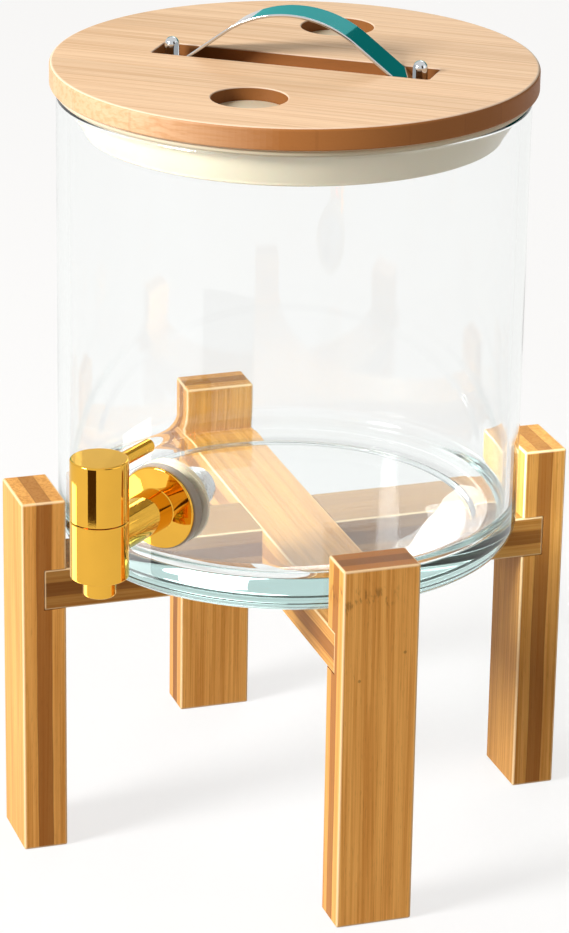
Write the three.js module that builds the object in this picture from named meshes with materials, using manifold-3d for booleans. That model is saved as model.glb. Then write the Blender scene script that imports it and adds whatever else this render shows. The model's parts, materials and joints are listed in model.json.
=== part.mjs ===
// A drink dispenser: a glass jar with a quarter-turn tap, a bamboo lid with a strap handle, and a stand.
// Millimetres, +Z up. The origin is on the jar's axis, on the surface that the stand's feet rest on.
// The legs stand on the X and Y axes, the front one at -Y. The tap looks out between the front and left legs.
import * as THREE from "three";
import { mergeVertices, toCreasedNormals } from "three/addons/utils/BufferGeometryUtils.js";
import Module from "manifold-3d";

const wasm = await Module();
wasm.setup();

// Fits and cutting
const seatGap = 0.1; // between still pieces that bear flat on each other
const saddleGap = 0.3; // between a piece and the round wall that it follows
const liftGap = 0.3; // between pieces that part when the jar or the lid is lifted
const runningGap = 0.1; // round the plug, which turns in its bore
const holeGap = 0.2; // round a screw, thread or stem in its hole
const overrun = 2; // how far a cutter passes the face that it opens

// Facets round a turn
const largeSteps = 56;
const tapSteps = 32;
const plugSteps = 24;
const smallSteps = 16;
const roundSteps = 4; // along the quarter turn of a rounded edge
const cornerSteps = 2; // round the corner of a board
const stopSteps = 8; // along the stop tooth and its notch
const ringSides = 6; // round the section of an O-ring
const creaseAngle = Math.PI / 6;

// Stand
const legWidth = 30;
const legThickness = 17.5;
const legHeight = 146;
const legEase = 0.8;
const jarPlay = 4; // free space between the jar and each leg
const barTop = 118;
const barHeight = 16.5;
const barEase = 0.6;
const housingShare = 0.5; // of the leg's thickness, let in for the end of a bar
const halvingShare = 0.5; // of the bar's height, cut away where the bars cross

// Jar
const jarRadius = 90;
const jarHeight = 179.5;
const jarWall = 4.5;
const jarBase = 13;
const jarFootRound = 11;
const jarFloorRound = 8;
const footRing = 3; // the flat ring that the jar stands on
const puntDepth = 1.2; // of the slight hollow under the base
const puntSlope = 6;

// Tap, along its shank
const tapTurn = THREE.MathUtils.degToRad(-139.4); // from +X towards +Y, seen from above
const washerRise = 2.6; // of the washers, above the rounded floor of the jar
const spoutReach = 39.2; // from the flange's back to the spout's axis
const shankRadius = 8;
const threadRelief = 0.2; // of the thread, under the smooth shank
const threadReach = 22; // past the jar's inner wall
const threadChamfer = 1;
const waterway = 4; // bore radius of the shank and the nozzle
const flangeRadius = 15.8;
const flangeRim = 1.2;
const flangeHub = 2.6;
const washerProud = 0.6; // of the silicone washers, past the flange
const outerWasherThickness = 2.9;
const innerWasherThickness = 3.4;
const steelWasherRadius = 12.2;
const steelWasherThickness = 1.2;
const nutAcrossFlats = 21;
const nutThickness = 6;
const nutChamfer = 1;

// Tap, along its upright body
const bodyRadius = 10.8;
const bodyEase = 0.6;
const bodyCover = 0.2; // metal left above the shank
const bodyDrop = 13.8; // from the shank's axis to the ledge above the nozzle
const nozzleRadius = 6.1;
const nozzleLength = 7.3;
const nozzleEase = 1;
const neckHeight = 9.2;
const glandLedge = 1.3; // on which the gland ring rests, round the plug
const glandThickness = 3;
const plugDrop = 9; // from the shank's axis to the floor under the plug
const plugShoulder = 1.5; // under the gland ring, round the stem
const plugWall = 2.7;
const plugCrown = 1; // how far the plug's bore ends above its window
const ringGroove = 1.3;
const ringGrooveWidth = 1.9;
const ringPlay = 0.08;
const ringShelf = 1.55; // from the plug's underside to the groove of the lower O-ring

// Tap handle
const capHeight = 23.4;
const capWall = 1.5; // round the neck
const capEase = 0.7;
const capCrown = 2;
const leverRadius = 2.6;
const leverReach = 33; // from the spout's axis to the lever's end
const leverDrop = 5.3; // from the cap's top to the lever's axis
const leverSeat = 0.8; // how far its shoulder sinks into the cap
const leverThreadRadius = 1.5;
const leverThreadEnd = 1.7; // short of the spout's axis
const leverEase = 0.6;
const quarterTurn = Math.PI / 2;
const toothTurn = THREE.MathUtils.degToRad(9); // half the angle that the stop tooth fills
const toothPlay = THREE.MathUtils.degToRad(1.5);
const toothReach = 1.1;
const toothHeight = 3;
const toothRoot = 0.5; // sunk in the cap's metal

// Lid
const lidTurn = THREE.MathUtils.degToRad(-35.8); // of the slot, from +X towards +Y
const boardRadius = 92.5;
const boardThickness = 8.7;
const boardTopEase = 1.1;
const boardUnderEase = 0.8;
const pocketDepth = 5; // of the slot and the two wells
const slotLength = 109.4;
const slotWidth = 16.6;
const slotCorner = 1.4;
const wellRadius = 14.2;
const wellPitch = 110; // between the wells' centres, across the slot

// Seal
const sealFlangeThickness = 1.5;
const sealFlangeInset = 0.5; // in from the glass rim's outside
const sealBand = 3;
const skirtDepth = 15;
const skirtWall = 3;
const skirtTaper = 6;
const plateThickness = 2.5;

// Strap handle
const strapSidePlay = 0.5; // beside it in the slot
const strapEndPlay = 1.6; // past the end of each foot
const strapThickness = 1.2;
const strapRise = 19.5; // of its crown, above the lid
const strapSlope = THREE.MathUtils.degToRad(37);
const strapSteps = 14;
const tongueWidth = 8;
const tongueLength = 11.4;
const tongueTaper = 3.6;
const postInset = 4.1; // of each nut's axis, from the end of the foot
const nutPlay = 0.3; // between a nut and the bend of the foot
const screwRadius = 1.5;
const screwHeadRadius = 3.6;
const screwHeadHeight = 2.2;
const screwReach = 5.5; // into the domed nut
const screwRecessDepth = 1;
const screwRecessWidth = 0.9;
const screwRecessLength = 3.8;
const screwWasherRadius = 5.5;
const screwWasherThickness = 0.8;
const domeRadius = 2.8;
const domeHeight = 8.3;
const domeFootRadius = 3.5;
const domeFootHeight = 0.9;

// Places worked out from the sizes
const legInner = jarRadius + jarPlay;
const housingDepth = legThickness * housingShare;
const jarBottom = barTop + liftGap;
const jarInner = jarRadius - jarWall;
const puntRadius = jarRadius - jarFootRound - footRing - puntSlope;
const threadRadius = shankRadius - threadRelief;
const washerRadius = flangeRadius + washerProud;
const tapHeight = jarBase + jarFloorRound + washerRadius + washerRise; // of the shank's axis
const flangeBack = jarRadius + saddleGap + outerWasherThickness;
const tapAxis = flangeBack + spoutReach;
const bodyRise = shankRadius + bodyCover;
const capBottom = bodyRise + liftGap;
const capTop = capBottom + capHeight;
const spoutEnd = -bodyDrop - nozzleLength;
const neckRadius = bodyRadius - capWall - liftGap;
const neckTop = bodyRise + neckHeight;
const glandSeat = neckTop - glandThickness - seatGap;
const stemTop = capTop - capCrown - holeGap;
const leverHeight = capTop - leverDrop;
const toothBottom = neckTop - toothHeight;
const toothInner = neckRadius - toothReach;
const glandRadius = toothInner - liftGap;
const plugRadius = glandRadius - glandLedge;
const plugBore = plugRadius - plugWall;
const stemRadius = plugRadius - plugShoulder;
const ringOffset = plugDrop - seatGap - ringShelf - ringGrooveWidth / 2; // either way from the shank's axis
const innerWasherFace = jarInner - innerWasherThickness;
const steelWasherFace = innerWasherFace - seatGap - steelWasherThickness;
const nutFace = steelWasherFace - seatGap - nutThickness;
const boardBottom = sealFlangeThickness + seatGap;
const boardTop = boardBottom + boardThickness;
const pocketFloor = boardTop - pocketDepth;
const plateUnder = sealFlangeThickness - plateThickness;
const sealRadius = jarInner - liftGap;
const screwHeadTop = plateUnder - 2 * seatGap - screwWasherThickness;
const domeBottom = pocketFloor + 2 * seatGap + strapThickness;
const strapWidth = slotWidth - 2 * strapSidePlay;
const strapCrown = pocketDepth + strapRise; // above the slot's floor, as the strap's other heights
const strapFoot = seatGap + strapThickness;
const footReach = slotLength / 2 - strapEndPlay; // from the lid's centre to the end of a foot
const tongueStart = footReach - tongueLength;
const postReach = footReach - postInset;
const footBend = postReach - domeFootRadius - nutPlay;
const strapBow = bowRadius(footBend, strapCrown - strapFoot); // the radius of its round top

const finish = {
  legBamboo: new THREE.MeshStandardMaterial({ color: 0xc78c4e, roughness: 0.5, metalness: 0 }),
  lidBamboo: new THREE.MeshStandardMaterial({ color: 0xdcb283, roughness: 0.55, metalness: 0 }),
  glass: new THREE.MeshStandardMaterial({
    color: 0xe6f2f1,
    roughness: 0.05,
    metalness: 0,
    transparent: true,
    opacity: 0.3,
  }),
  gold: new THREE.MeshStandardMaterial({ color: 0xe2a93a, roughness: 0.12, metalness: 1 }),
  steel: new THREE.MeshStandardMaterial({ color: 0xc9cccd, roughness: 0.15, metalness: 1 }),
  brass: new THREE.MeshStandardMaterial({ color: 0xb98d45, roughness: 0.35, metalness: 1 }),
  creamSilicone: new THREE.MeshStandardMaterial({ color: 0xf1ede2, roughness: 0.45, metalness: 0 }),
  greySilicone: new THREE.MeshStandardMaterial({ color: 0x9a9088, roughness: 0.5, metalness: 0 }),
  blackRubber: new THREE.MeshStandardMaterial({ color: 0x1d1d1d, roughness: 0.6, metalness: 0 }),
};

// Solids

function solid(geometry) {
  const bare = geometry.clone();
  bare.deleteAttribute("normal");
  bare.deleteAttribute("uv");
  const merged = mergeVertices(bare);
  const corners = merged.index.array;
  const kept = [];
  for (let i = 0; i < corners.length; i += 3) {
    const [a, b, c] = [corners[i], corners[i + 1], corners[i + 2]];
    if (a !== b && b !== c && c !== a) kept.push(a, b, c);
  }
  return new wasm.Manifold(
    new wasm.Mesh({
      numProp: 3,
      vertProperties: new Float32Array(merged.attributes.position.array),
      triVerts: new Uint32Array(kept),
    }),
  );
}

function cut(body, ...cutters) {
  return cutters.reduce((rest, cutter) => rest.subtract(cutter), body);
}

function join(first, ...others) {
  return others.reduce((whole, other) => whole.add(other), first);
}

function piece(name, body, material) {
  const data = body.getMesh();
  const geometry = new THREE.BufferGeometry();
  geometry.setAttribute("position", new THREE.BufferAttribute(new Float32Array(data.vertProperties), 3));
  geometry.setIndex(new THREE.BufferAttribute(new Uint32Array(data.triVerts), 1));
  const mesh = new THREE.Mesh(toCreasedNormals(geometry, creaseAngle), material);
  mesh.name = name;
  return mesh;
}

// Profiles are [radius, height] pairs that run anticlockwise, with the material on their left.
function revolve(profile, steps) {
  const points = profile.map(([radius, height]) => new THREE.Vector2(radius, height));
  return new THREE.LatheGeometry(points, steps).rotateX(Math.PI / 2);
}

function turned(profile, steps) {
  return solid(revolve(profile, steps));
}

function ring(outer, inner, bottom, top, steps) {
  const profile = [
    [inner, bottom],
    [outer, bottom],
    [outer, top],
    [inner, top],
    [inner, bottom],
  ];
  return revolve(profile, steps);
}

function rod(radius, bottom, top, steps) {
  const profile = [
    [0, bottom],
    [radius, bottom],
    [radius, top],
    [0, top],
  ];
  return revolve(profile, steps);
}

// The same shapes with their length along X instead of up Z.
function alongX(geometry) {
  return geometry.rotateY(Math.PI / 2);
}

function arc(centreR, centreZ, radius, start, sweep, steps) {
  const points = [];
  for (let i = 0; i <= steps; i++) {
    const angle = start + (i / steps) * sweep;
    points.push([centreR + radius * Math.cos(angle), centreZ + radius * Math.sin(angle)]);
  }
  return points;
}

function quarter(centreR, centreZ, radius, start) {
  return arc(centreR, centreZ, radius, start, Math.PI / 2, roundSteps);
}

function block(lengthX, lengthY, lengthZ, x, y, z) {
  return solid(new THREE.BoxGeometry(lengthX, lengthY, lengthZ).translate(x, y, z));
}

function roundedRectangle(width, height, radius) {
  const [w, h] = [width / 2, height / 2];
  const shape = new THREE.Shape();
  shape.moveTo(-w + radius, -h);
  shape.lineTo(w - radius, -h);
  shape.absarc(w - radius, -h + radius, radius, -Math.PI / 2, 0);
  shape.lineTo(w, h - radius);
  shape.absarc(w - radius, h - radius, radius, 0, Math.PI / 2);
  shape.lineTo(-w + radius, h);
  shape.absarc(-w + radius, h - radius, radius, Math.PI / 2, Math.PI);
  shape.lineTo(-w, -h + radius);
  shape.absarc(-w + radius, -h + radius, radius, Math.PI, Math.PI * 1.5);
  return shape;
}

// Stand

// A leg is built where the right one stands; the others are turned from it about the jar's axis.
function leg() {
  const easedOutline = roundedRectangle(legThickness - 2 * legEase, legWidth - 2 * legEase, legEase / 2);
  const board = new THREE.ExtrudeGeometry(easedOutline, {
    depth: legHeight - 2 * legEase,
    bevelSize: legEase,
    bevelThickness: legEase,
    bevelSegments: cornerSteps,
    curveSegments: cornerSteps,
  });
  board.translate(legInner + legThickness / 2, 0, legEase);
  const housing = block(
    housingDepth + seatGap + overrun,
    legWidth + 2 * overrun,
    barHeight + 2 * seatGap,
    legInner + (housingDepth + seatGap - overrun) / 2,
    0,
    barTop - barHeight / 2,
  );
  return cut(solid(board), housing);
}

// A bar lies along X, with its halving open upwards or downwards.
function crossBar(openUp) {
  const length = 2 * (legInner + housingDepth);
  const section = new THREE.ExtrudeGeometry(roundedRectangle(barHeight, legWidth, barEase), {
    depth: length,
    bevelEnabled: false,
    curveSegments: cornerSteps,
  });
  section.translate(0, 0, -length / 2);
  const bar = solid(alongX(section).translate(0, 0, barTop - barHeight / 2));
  const halvingDepth = barHeight * halvingShare + seatGap / 2;
  const side = openUp ? 1 : -1;
  const halving = block(
    legWidth + 2 * seatGap,
    legWidth + 2 * overrun,
    halvingDepth + overrun,
    0,
    0,
    barTop - barHeight / 2 + side * (barHeight / 2 - (halvingDepth - overrun) / 2),
  );
  return cut(bar, halving);
}

function stand() {
  const group = new THREE.Group();
  ["leg_right", "leg_back", "leg_left", "leg_front"].forEach((name, i) => {
    const mesh = piece(name, leg(), finish.legBamboo);
    mesh.rotation.z = (i * Math.PI) / 2;
    group.add(mesh);
  });
  group.add(piece("cross_bar_side_to_side", crossBar(true), finish.legBamboo));
  const frontToBack = piece("cross_bar_front_to_back", crossBar(false), finish.legBamboo);
  frontToBack.rotation.z = Math.PI / 2;
  group.add(frontToBack);
  return group;
}

// Jar

function glassJar() {
  const rimRound = jarWall / 2;
  const profile = [
    [0, puntDepth],
    [puntRadius, puntDepth],
    [puntRadius + puntSlope, 0],
    ...quarter(jarRadius - jarFootRound, jarFootRound, jarFootRound, -Math.PI / 2),
    ...arc(jarRadius - rimRound, jarHeight - rimRound, rimRound, 0, Math.PI, 2 * roundSteps),
    ...quarter(jarInner - jarFloorRound, jarBase + jarFloorRound, jarFloorRound, -Math.PI / 2).reverse(),
    [0, jarBase],
  ];
  const tapHole = alongX(rod(threadRadius + 2 * holeGap, 0, jarWall + 2 * overrun, tapSteps));
  tapHole.translate(jarInner - overrun, 0, tapHeight);
  tapHole.rotateZ(tapTurn);
  return cut(turned(profile, largeSteps), solid(tapHole));
}

// The jar's wall as the washers see it, turned into the tap's own frame.
function wallInTapFrame(radius) {
  const reach = washerRadius + overrun;
  const wall = rod(radius, -reach, reach, largeSteps);
  return solid(wall.rotateZ(-tapTurn).translate(-tapAxis, 0, 0));
}

// Tap, in its own frame: the spout's axis is Z, the shank's axis is X, and the jar is towards -X.

function tapBody() {
  const upright = [
    [0, spoutEnd],
    ...quarter(nozzleRadius - nozzleEase, spoutEnd + nozzleEase, nozzleEase, -Math.PI / 2),
    [nozzleRadius, -bodyDrop],
    [bodyRadius - bodyEase, -bodyDrop],
    ...quarter(bodyRadius - bodyEase, -bodyDrop + bodyEase, bodyEase, -Math.PI / 2),
    [bodyRadius, bodyRise],
    [neckRadius, bodyRise],
    [neckRadius, neckTop],
    [0, neckTop],
  ];
  const threadEnd = tapAxis - jarInner + threadReach;
  const shank = [
    [0, -threadEnd],
    [threadRadius - threadChamfer, -threadEnd],
    [threadRadius, -threadEnd + threadChamfer],
    [threadRadius, -spoutReach],
    [flangeRadius, -spoutReach],
    [flangeRadius, -spoutReach + flangeRim],
    [shankRadius, -spoutReach + flangeHub],
    [shankRadius, 0],
    [0, 0],
  ];
  const outside = join(turned(upright, tapSteps), solid(alongX(revolve(shank, tapSteps))));
  const bore = plugRadius + runningGap;
  const inside = [
    [0, spoutEnd - overrun],
    [waterway, spoutEnd - overrun],
    [waterway, -plugDrop],
    [bore, -plugDrop],
    [bore, glandSeat],
    [glandRadius + holeGap, glandSeat],
    [glandRadius + holeGap, neckTop + overrun],
    [0, neckTop + overrun],
  ];
  const shankBore = alongX(rod(waterway, -threadEnd - overrun, 0, tapSteps));
  return cut(outside, turned(inside, plugSteps), solid(shankBore), stopNotch());
}

// A ring sector in plan, from start to end, between two radii.
function sector(inner, outer, start, end, bottom, top) {
  const shape = new THREE.Shape();
  shape.absarc(0, 0, outer, start, end, false);
  shape.absarc(0, 0, inner, end, start, true);
  const geometry = new THREE.ExtrudeGeometry(shape, {
    depth: top - bottom,
    bevelEnabled: false,
    curveSegments: stopSteps,
  });
  return solid(geometry.translate(0, 0, bottom));
}

// The stop: a tooth inside the cap runs from end to end of a notch in the neck's rim.
function stopNotch() {
  const start = -toothTurn - toothPlay;
  const end = quarterTurn + toothTurn + toothPlay;
  const [inner, outer] = [toothInner - holeGap, neckRadius + overrun];
  return sector(inner, outer, start, end, toothBottom - liftGap, neckTop + overrun);
}

function glandRing() {
  const bottom = glandSeat + seatGap;
  return solid(ring(glandRadius, stemRadius + holeGap, bottom, bottom + glandThickness - seatGap, plugSteps));
}

function ringProfile(height) {
  const groove = plugRadius - ringGroove;
  const centre = (groove + plugRadius + runningGap) / 2;
  const radius = centre - groove - ringPlay;
  return arc(centre, height, radius, 0, 2 * Math.PI, ringSides);
}

function valvePlug() {
  const groove = plugRadius - ringGroove;
  const bottom = -plugDrop + seatGap;
  const shoulder = glandSeat - seatGap;
  const profile = [[0, bottom], [plugRadius, bottom]];
  for (const height of [-ringOffset, ringOffset]) {
    profile.push([plugRadius, height - ringGrooveWidth / 2]);
    profile.push([groove, height - ringGrooveWidth / 2]);
    profile.push([groove, height + ringGrooveWidth / 2]);
    profile.push([plugRadius, height + ringGrooveWidth / 2]);
  }
  profile.push([plugRadius, shoulder], [stemRadius, shoulder], [stemRadius, stemTop], [0, stemTop]);
  const outlet = rod(plugBore, bottom - overrun, plugBore + plugCrown, smallSteps);
  // The window faces sideways while the tap is shut, and meets the shank a quarter turn on.
  const window = alongX(rod(plugBore, 0, plugRadius + overrun, smallSteps)).rotateZ(quarterTurn);
  const leverHole = alongX(rod(leverThreadRadius + holeGap, -stemRadius - overrun, 0, smallSteps));
  leverHole.translate(0, 0, leverHeight);
  return cut(turned(profile, plugSteps), solid(outlet), solid(window), solid(leverHole));
}

function handleCap() {
  const profile = [
    [0, capBottom],
    [bodyRadius, capBottom],
    ...quarter(bodyRadius - capEase, capTop - capEase, capEase, 0),
    [0, capTop],
  ];
  const skirtBore = neckRadius + liftGap;
  const inside = [
    [0, capBottom - overrun],
    [skirtBore, capBottom - overrun],
    [skirtBore, neckTop + liftGap],
    [stemRadius + seatGap, neckTop + liftGap],
    [stemRadius + seatGap, stemTop + seatGap],
    [0, stemTop + seatGap],
  ];
  const leverHole = alongX(rod(leverThreadRadius + holeGap, -bodyRadius - overrun, 0, smallSteps));
  const leverRecess = alongX(
    rod(leverRadius + holeGap, -bodyRadius - overrun, -bodyRadius + leverSeat, smallSteps),
  );
  const toothTop = neckTop + liftGap + toothRoot;
  const tooth = sector(toothInner, skirtBore + toothRoot, -toothTurn, toothTurn, toothBottom, toothTop);
  return join(
    cut(
      turned(profile, tapSteps),
      turned(inside, tapSteps),
      solid(leverHole.translate(0, 0, leverHeight)),
      solid(leverRecess.translate(0, 0, leverHeight)),
    ),
    tooth,
  );
}

function leverPin() {
  const shoulder = -bodyRadius + leverSeat - seatGap;
  const profile = [
    [0, -leverReach],
    [leverRadius - leverEase, -leverReach],
    ...quarter(leverRadius - leverEase, -leverReach + leverEase, leverEase, -Math.PI / 2),
    [leverRadius, shoulder],
    [leverThreadRadius, shoulder],
    [leverThreadRadius, -leverThreadEnd],
    [0, -leverThreadEnd],
  ];
  return solid(alongX(revolve(profile, smallSteps)).translate(0, 0, leverHeight));
}

// The clamped pieces are placed by their distance from the jar's axis, less tapAxis in the tap's frame.
function outerWasher() {
  const ringShape = alongX(
    ring(washerRadius, threadRadius + holeGap, jarInner - tapAxis, -spoutReach - seatGap, tapSteps),
  );
  return cut(solid(ringShape), wallInTapFrame(jarRadius + saddleGap));
}

function innerWasher() {
  const ringShape = alongX(
    ring(washerRadius, threadRadius + holeGap, innerWasherFace - tapAxis, jarRadius - tapAxis, tapSteps),
  );
  return solid(ringShape).intersect(wallInTapFrame(jarInner - saddleGap));
}

function steelWasher() {
  const near = steelWasherFace - tapAxis;
  const far = near + steelWasherThickness;
  return solid(alongX(ring(steelWasherRadius, threadRadius + holeGap, near, far, tapSteps)));
}

function shankNut() {
  const near = nutFace - tapAxis;
  const corner = nutAcrossFlats / 2 / Math.cos(Math.PI / 6);
  const prism = alongX(rod(corner, near, near + nutThickness, 6));
  const bevelled = [
    [0, near],
    [corner - nutChamfer, near],
    [corner, near + nutChamfer],
    [corner, near + nutThickness - nutChamfer],
    [corner - nutChamfer, near + nutThickness],
    [0, near + nutThickness],
  ];
  const hole = alongX(rod(threadRadius + holeGap, near - overrun, near + nutThickness + overrun, tapSteps));
  return cut(solid(prism).intersect(solid(alongX(revolve(bevelled, tapSteps)))), solid(hole));
}

function tap() {
  const group = new THREE.Group();
  group.rotation.z = tapTurn;
  group.position.set(tapAxis * Math.cos(tapTurn), tapAxis * Math.sin(tapTurn), tapHeight);
  group.add(piece("tap_body", tapBody(), finish.gold));
  group.add(piece("outer_washer", outerWasher(), finish.greySilicone));
  group.add(piece("inner_washer", innerWasher(), finish.creamSilicone));
  group.add(piece("steel_washer", steelWasher(), finish.steel));
  group.add(piece("shank_nut", shankNut(), finish.steel));
  group.add(piece("valve_plug", valvePlug(), finish.brass));
  group.add(piece("plug_o_ring_lower", turned(ringProfile(-ringOffset), plugSteps), finish.blackRubber));
  group.add(piece("plug_o_ring_upper", turned(ringProfile(ringOffset), plugSteps), finish.blackRubber));
  group.add(piece("gland_ring", glandRing(), finish.brass));
  group.add(piece("handle_cap", handleCap(), finish.gold));
  group.add(piece("lever_pin", leverPin(), finish.gold));
  return group;
}

// Lid, in its own frame: the slot runs along X, and z is 0 where the seal rests on the glass rim.

function lidBoard() {
  const profile = [
    [0, boardBottom],
    ...quarter(boardRadius - boardUnderEase, boardBottom + boardUnderEase, boardUnderEase, -Math.PI / 2),
    ...quarter(boardRadius - boardTopEase, boardTop - boardTopEase, boardTopEase, 0),
    [0, boardTop],
  ];
  const slot = new THREE.ExtrudeGeometry(roundedRectangle(slotLength, slotWidth, slotCorner), {
    depth: pocketDepth + overrun,
    bevelEnabled: false,
    curveSegments: cornerSteps,
  });
  const cutters = [solid(slot.translate(0, 0, pocketFloor))];
  for (const side of [-1, 1]) {
    const well = rod(wellRadius, boardBottom - overrun, boardTop + overrun, tapSteps);
    cutters.push(solid(well.translate(0, (side * wellPitch) / 2, 0)));
    const screwHole = rod(screwRadius + holeGap, boardBottom - overrun, boardTop, smallSteps);
    cutters.push(solid(screwHole.translate(side * postReach, 0, 0)));
  }
  return cut(turned(profile, largeSteps), ...cutters);
}

function lidSeal() {
  const lipRound = skirtWall / 2;
  const lipRadius = sealRadius - skirtTaper;
  const flangeEdge = jarRadius - sealFlangeInset;
  const profile = [
    [0, plateUnder],
    [sealRadius - skirtWall, plateUnder],
    [sealRadius - skirtWall, -sealBand],
    ...arc(lipRadius - lipRound, -skirtDepth + lipRound, lipRound, Math.PI, Math.PI, roundSteps),
    [sealRadius, -sealBand],
    [sealRadius, 0],
    [flangeEdge, 0],
    [flangeEdge, sealFlangeThickness],
    [0, sealFlangeThickness],
  ];
  const bosses = [];
  const holes = [];
  for (const side of [-1, 1]) {
    const boss = rod(wellRadius - holeGap, plateUnder / 2, pocketFloor, tapSteps);
    bosses.push(solid(boss.translate(0, (side * wellPitch) / 2, 0)));
    const hole = rod(screwRadius + holeGap, plateUnder - overrun, sealFlangeThickness + overrun, smallSteps);
    holes.push(solid(hole.translate(side * postReach, 0, 0)));
  }
  return cut(join(turned(profile, largeSteps), ...bosses), ...holes);
}

// The bow goes over into straight legs, which meet the feet at this reach, this far below the crown.
function bowRadius(reach, height) {
  const straight = height / Math.tan(strapSlope);
  return (reach - straight) / (Math.sin(strapSlope) - (1 - Math.cos(strapSlope)) / Math.tan(strapSlope));
}

// The strap's outline, seen from the side: flat feet, straight legs and a round bow.
function strapLine(offset) {
  const crown = strapCrown - offset;
  const bow = strapBow - offset;
  const tangentX = bow * Math.sin(strapSlope);
  const tangentZ = crown - bow * (1 - Math.cos(strapSlope));
  const footZ = strapFoot - offset;
  const footX = tangentX + (tangentZ - footZ) / Math.tan(strapSlope);
  const points = [[-footReach, footZ], [-footX, footZ]];
  points.push(...arc(0, crown - bow, bow, Math.PI / 2 + strapSlope, -2 * strapSlope, strapSteps));
  points.push([footX, footZ], [footReach, footZ]);
  return points;
}

function strapHandle() {
  const outline = [...strapLine(strapThickness), ...strapLine(0).reverse()];
  const side = new THREE.ExtrudeGeometry(new THREE.Shape(outline.map(([x, z]) => new THREE.Vector2(x, z))), {
    depth: strapWidth,
    bevelEnabled: false,
  });
  side.rotateX(Math.PI / 2).translate(0, strapWidth / 2, pocketFloor);
  const [half, tongue] = [strapWidth / 2, tongueWidth / 2];
  const corners = [
    [tongueStart, half],
    [tongueStart + tongueTaper, tongue],
    [footReach + overrun, tongue],
  ];
  const right = [...corners.map(([x, y]) => [x, -y]), ...corners.toReversed()];
  const plan = [...right, ...right.map(([x, y]) => [-x, -y])];
  const blank = new THREE.ExtrudeGeometry(new THREE.Shape(plan.map(([x, y]) => new THREE.Vector2(x, y))), {
    depth: strapCrown + 2 * overrun,
    bevelEnabled: false,
  });
  blank.translate(0, 0, pocketFloor - overrun);
  const holes = [-1, 1].map((end) => {
    const top = pocketFloor + strapThickness + overrun;
    const hole = rod(screwRadius + holeGap, pocketFloor - overrun, top, smallSteps);
    return solid(hole.translate(end * postReach, 0, 0));
  });
  return cut(solid(side).intersect(solid(blank)), ...holes);
}

function handleScrew() {
  const headBottom = screwHeadTop - screwHeadHeight;
  const headRound = screwHeadHeight / 2;
  const profile = [
    [0, headBottom],
    ...quarter(screwHeadRadius - headRound, headBottom + headRound, headRound, -Math.PI / 2),
    [screwHeadRadius, screwHeadTop],
    [screwRadius, screwHeadTop],
    [screwRadius, domeBottom + screwReach],
    [0, domeBottom + screwReach],
  ];
  const recessDepth = screwRecessDepth + overrun;
  const recessZ = headBottom + screwRecessDepth - recessDepth / 2;
  return cut(
    turned(profile, smallSteps),
    block(screwRecessLength, screwRecessWidth, recessDepth, 0, 0, recessZ),
    block(screwRecessWidth, screwRecessLength, recessDepth, 0, 0, recessZ),
  );
}

function screwWasher() {
  const bottom = screwHeadTop + seatGap;
  const top = bottom + screwWasherThickness;
  return solid(ring(screwWasherRadius, screwRadius + holeGap, bottom, top, smallSteps));
}

function domedNut() {
  const domeCentre = domeBottom + domeHeight - domeRadius;
  const profile = [
    [0, domeBottom],
    [domeFootRadius, domeBottom],
    [domeFootRadius, domeBottom + domeFootHeight],
    [domeRadius, domeBottom + domeFootHeight],
    ...quarter(0, domeCentre, domeRadius, 0),
  ];
  const threadTop = domeBottom + screwReach + holeGap;
  const thread = rod(screwRadius + holeGap, domeBottom - overrun, threadTop, smallSteps);
  return cut(turned(profile, smallSteps), solid(thread));
}

function lid() {
  const group = new THREE.Group();
  group.rotation.z = lidTurn;
  group.position.z = jarHeight + liftGap;
  group.add(piece("lid_board", lidBoard(), finish.lidBamboo));
  group.add(piece("lid_seal", lidSeal(), finish.creamSilicone));
  group.add(piece("strap_handle", strapHandle(), finish.steel));
  for (const [side, name] of [[-1, "left"], [1, "right"]]) {
    const post = new THREE.Group();
    post.position.x = side * postReach;
    post.add(piece(`handle_screw_${name}`, handleScrew(), finish.steel));
    post.add(piece(`handle_washer_${name}`, screwWasher(), finish.steel));
    post.add(piece(`domed_nut_${name}`, domedNut(), finish.steel));
    group.add(post);
  }
  return group;
}

const dispenser = new THREE.Group();
dispenser.add(stand());
const jar = new THREE.Group();
jar.position.z = jarBottom;
jar.add(piece("glass_jar", glassJar(), finish.glass));
jar.add(tap());
jar.add(lid());
dispenser.add(jar);

export default dispenser;
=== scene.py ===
# A drink dispenser: the finished surfaces of its jar, tap, lid and stand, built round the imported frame.
# Metres, +Z up. Each piece is made where the frame has it, and rides on the frame's body.
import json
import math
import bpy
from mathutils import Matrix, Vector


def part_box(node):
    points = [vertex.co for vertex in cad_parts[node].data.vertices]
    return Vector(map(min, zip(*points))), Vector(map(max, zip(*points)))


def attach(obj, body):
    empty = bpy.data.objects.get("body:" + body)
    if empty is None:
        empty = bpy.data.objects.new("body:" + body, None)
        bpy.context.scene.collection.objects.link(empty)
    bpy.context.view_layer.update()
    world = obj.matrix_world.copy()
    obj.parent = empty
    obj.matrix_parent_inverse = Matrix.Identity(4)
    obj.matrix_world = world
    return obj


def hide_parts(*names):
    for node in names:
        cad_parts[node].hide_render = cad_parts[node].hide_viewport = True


bl_info = {
    "name": "Drink Dispenser",
    "version": (1, 0, 0),
    "blender": (4, 5, 0),
    "location": "View3D > Sidebar > Dispenser",
    "description": "Makes a glass drink dispenser with a gold tap, a bamboo lid and a bamboo stand",
    "category": "Object",
}

import bmesh
import bpy
from bpy.props import FloatProperty, FloatVectorProperty, IntProperty, PointerProperty
from bpy.types import Operator, Panel, PropertyGroup
from mathutils import Matrix, Vector

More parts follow.
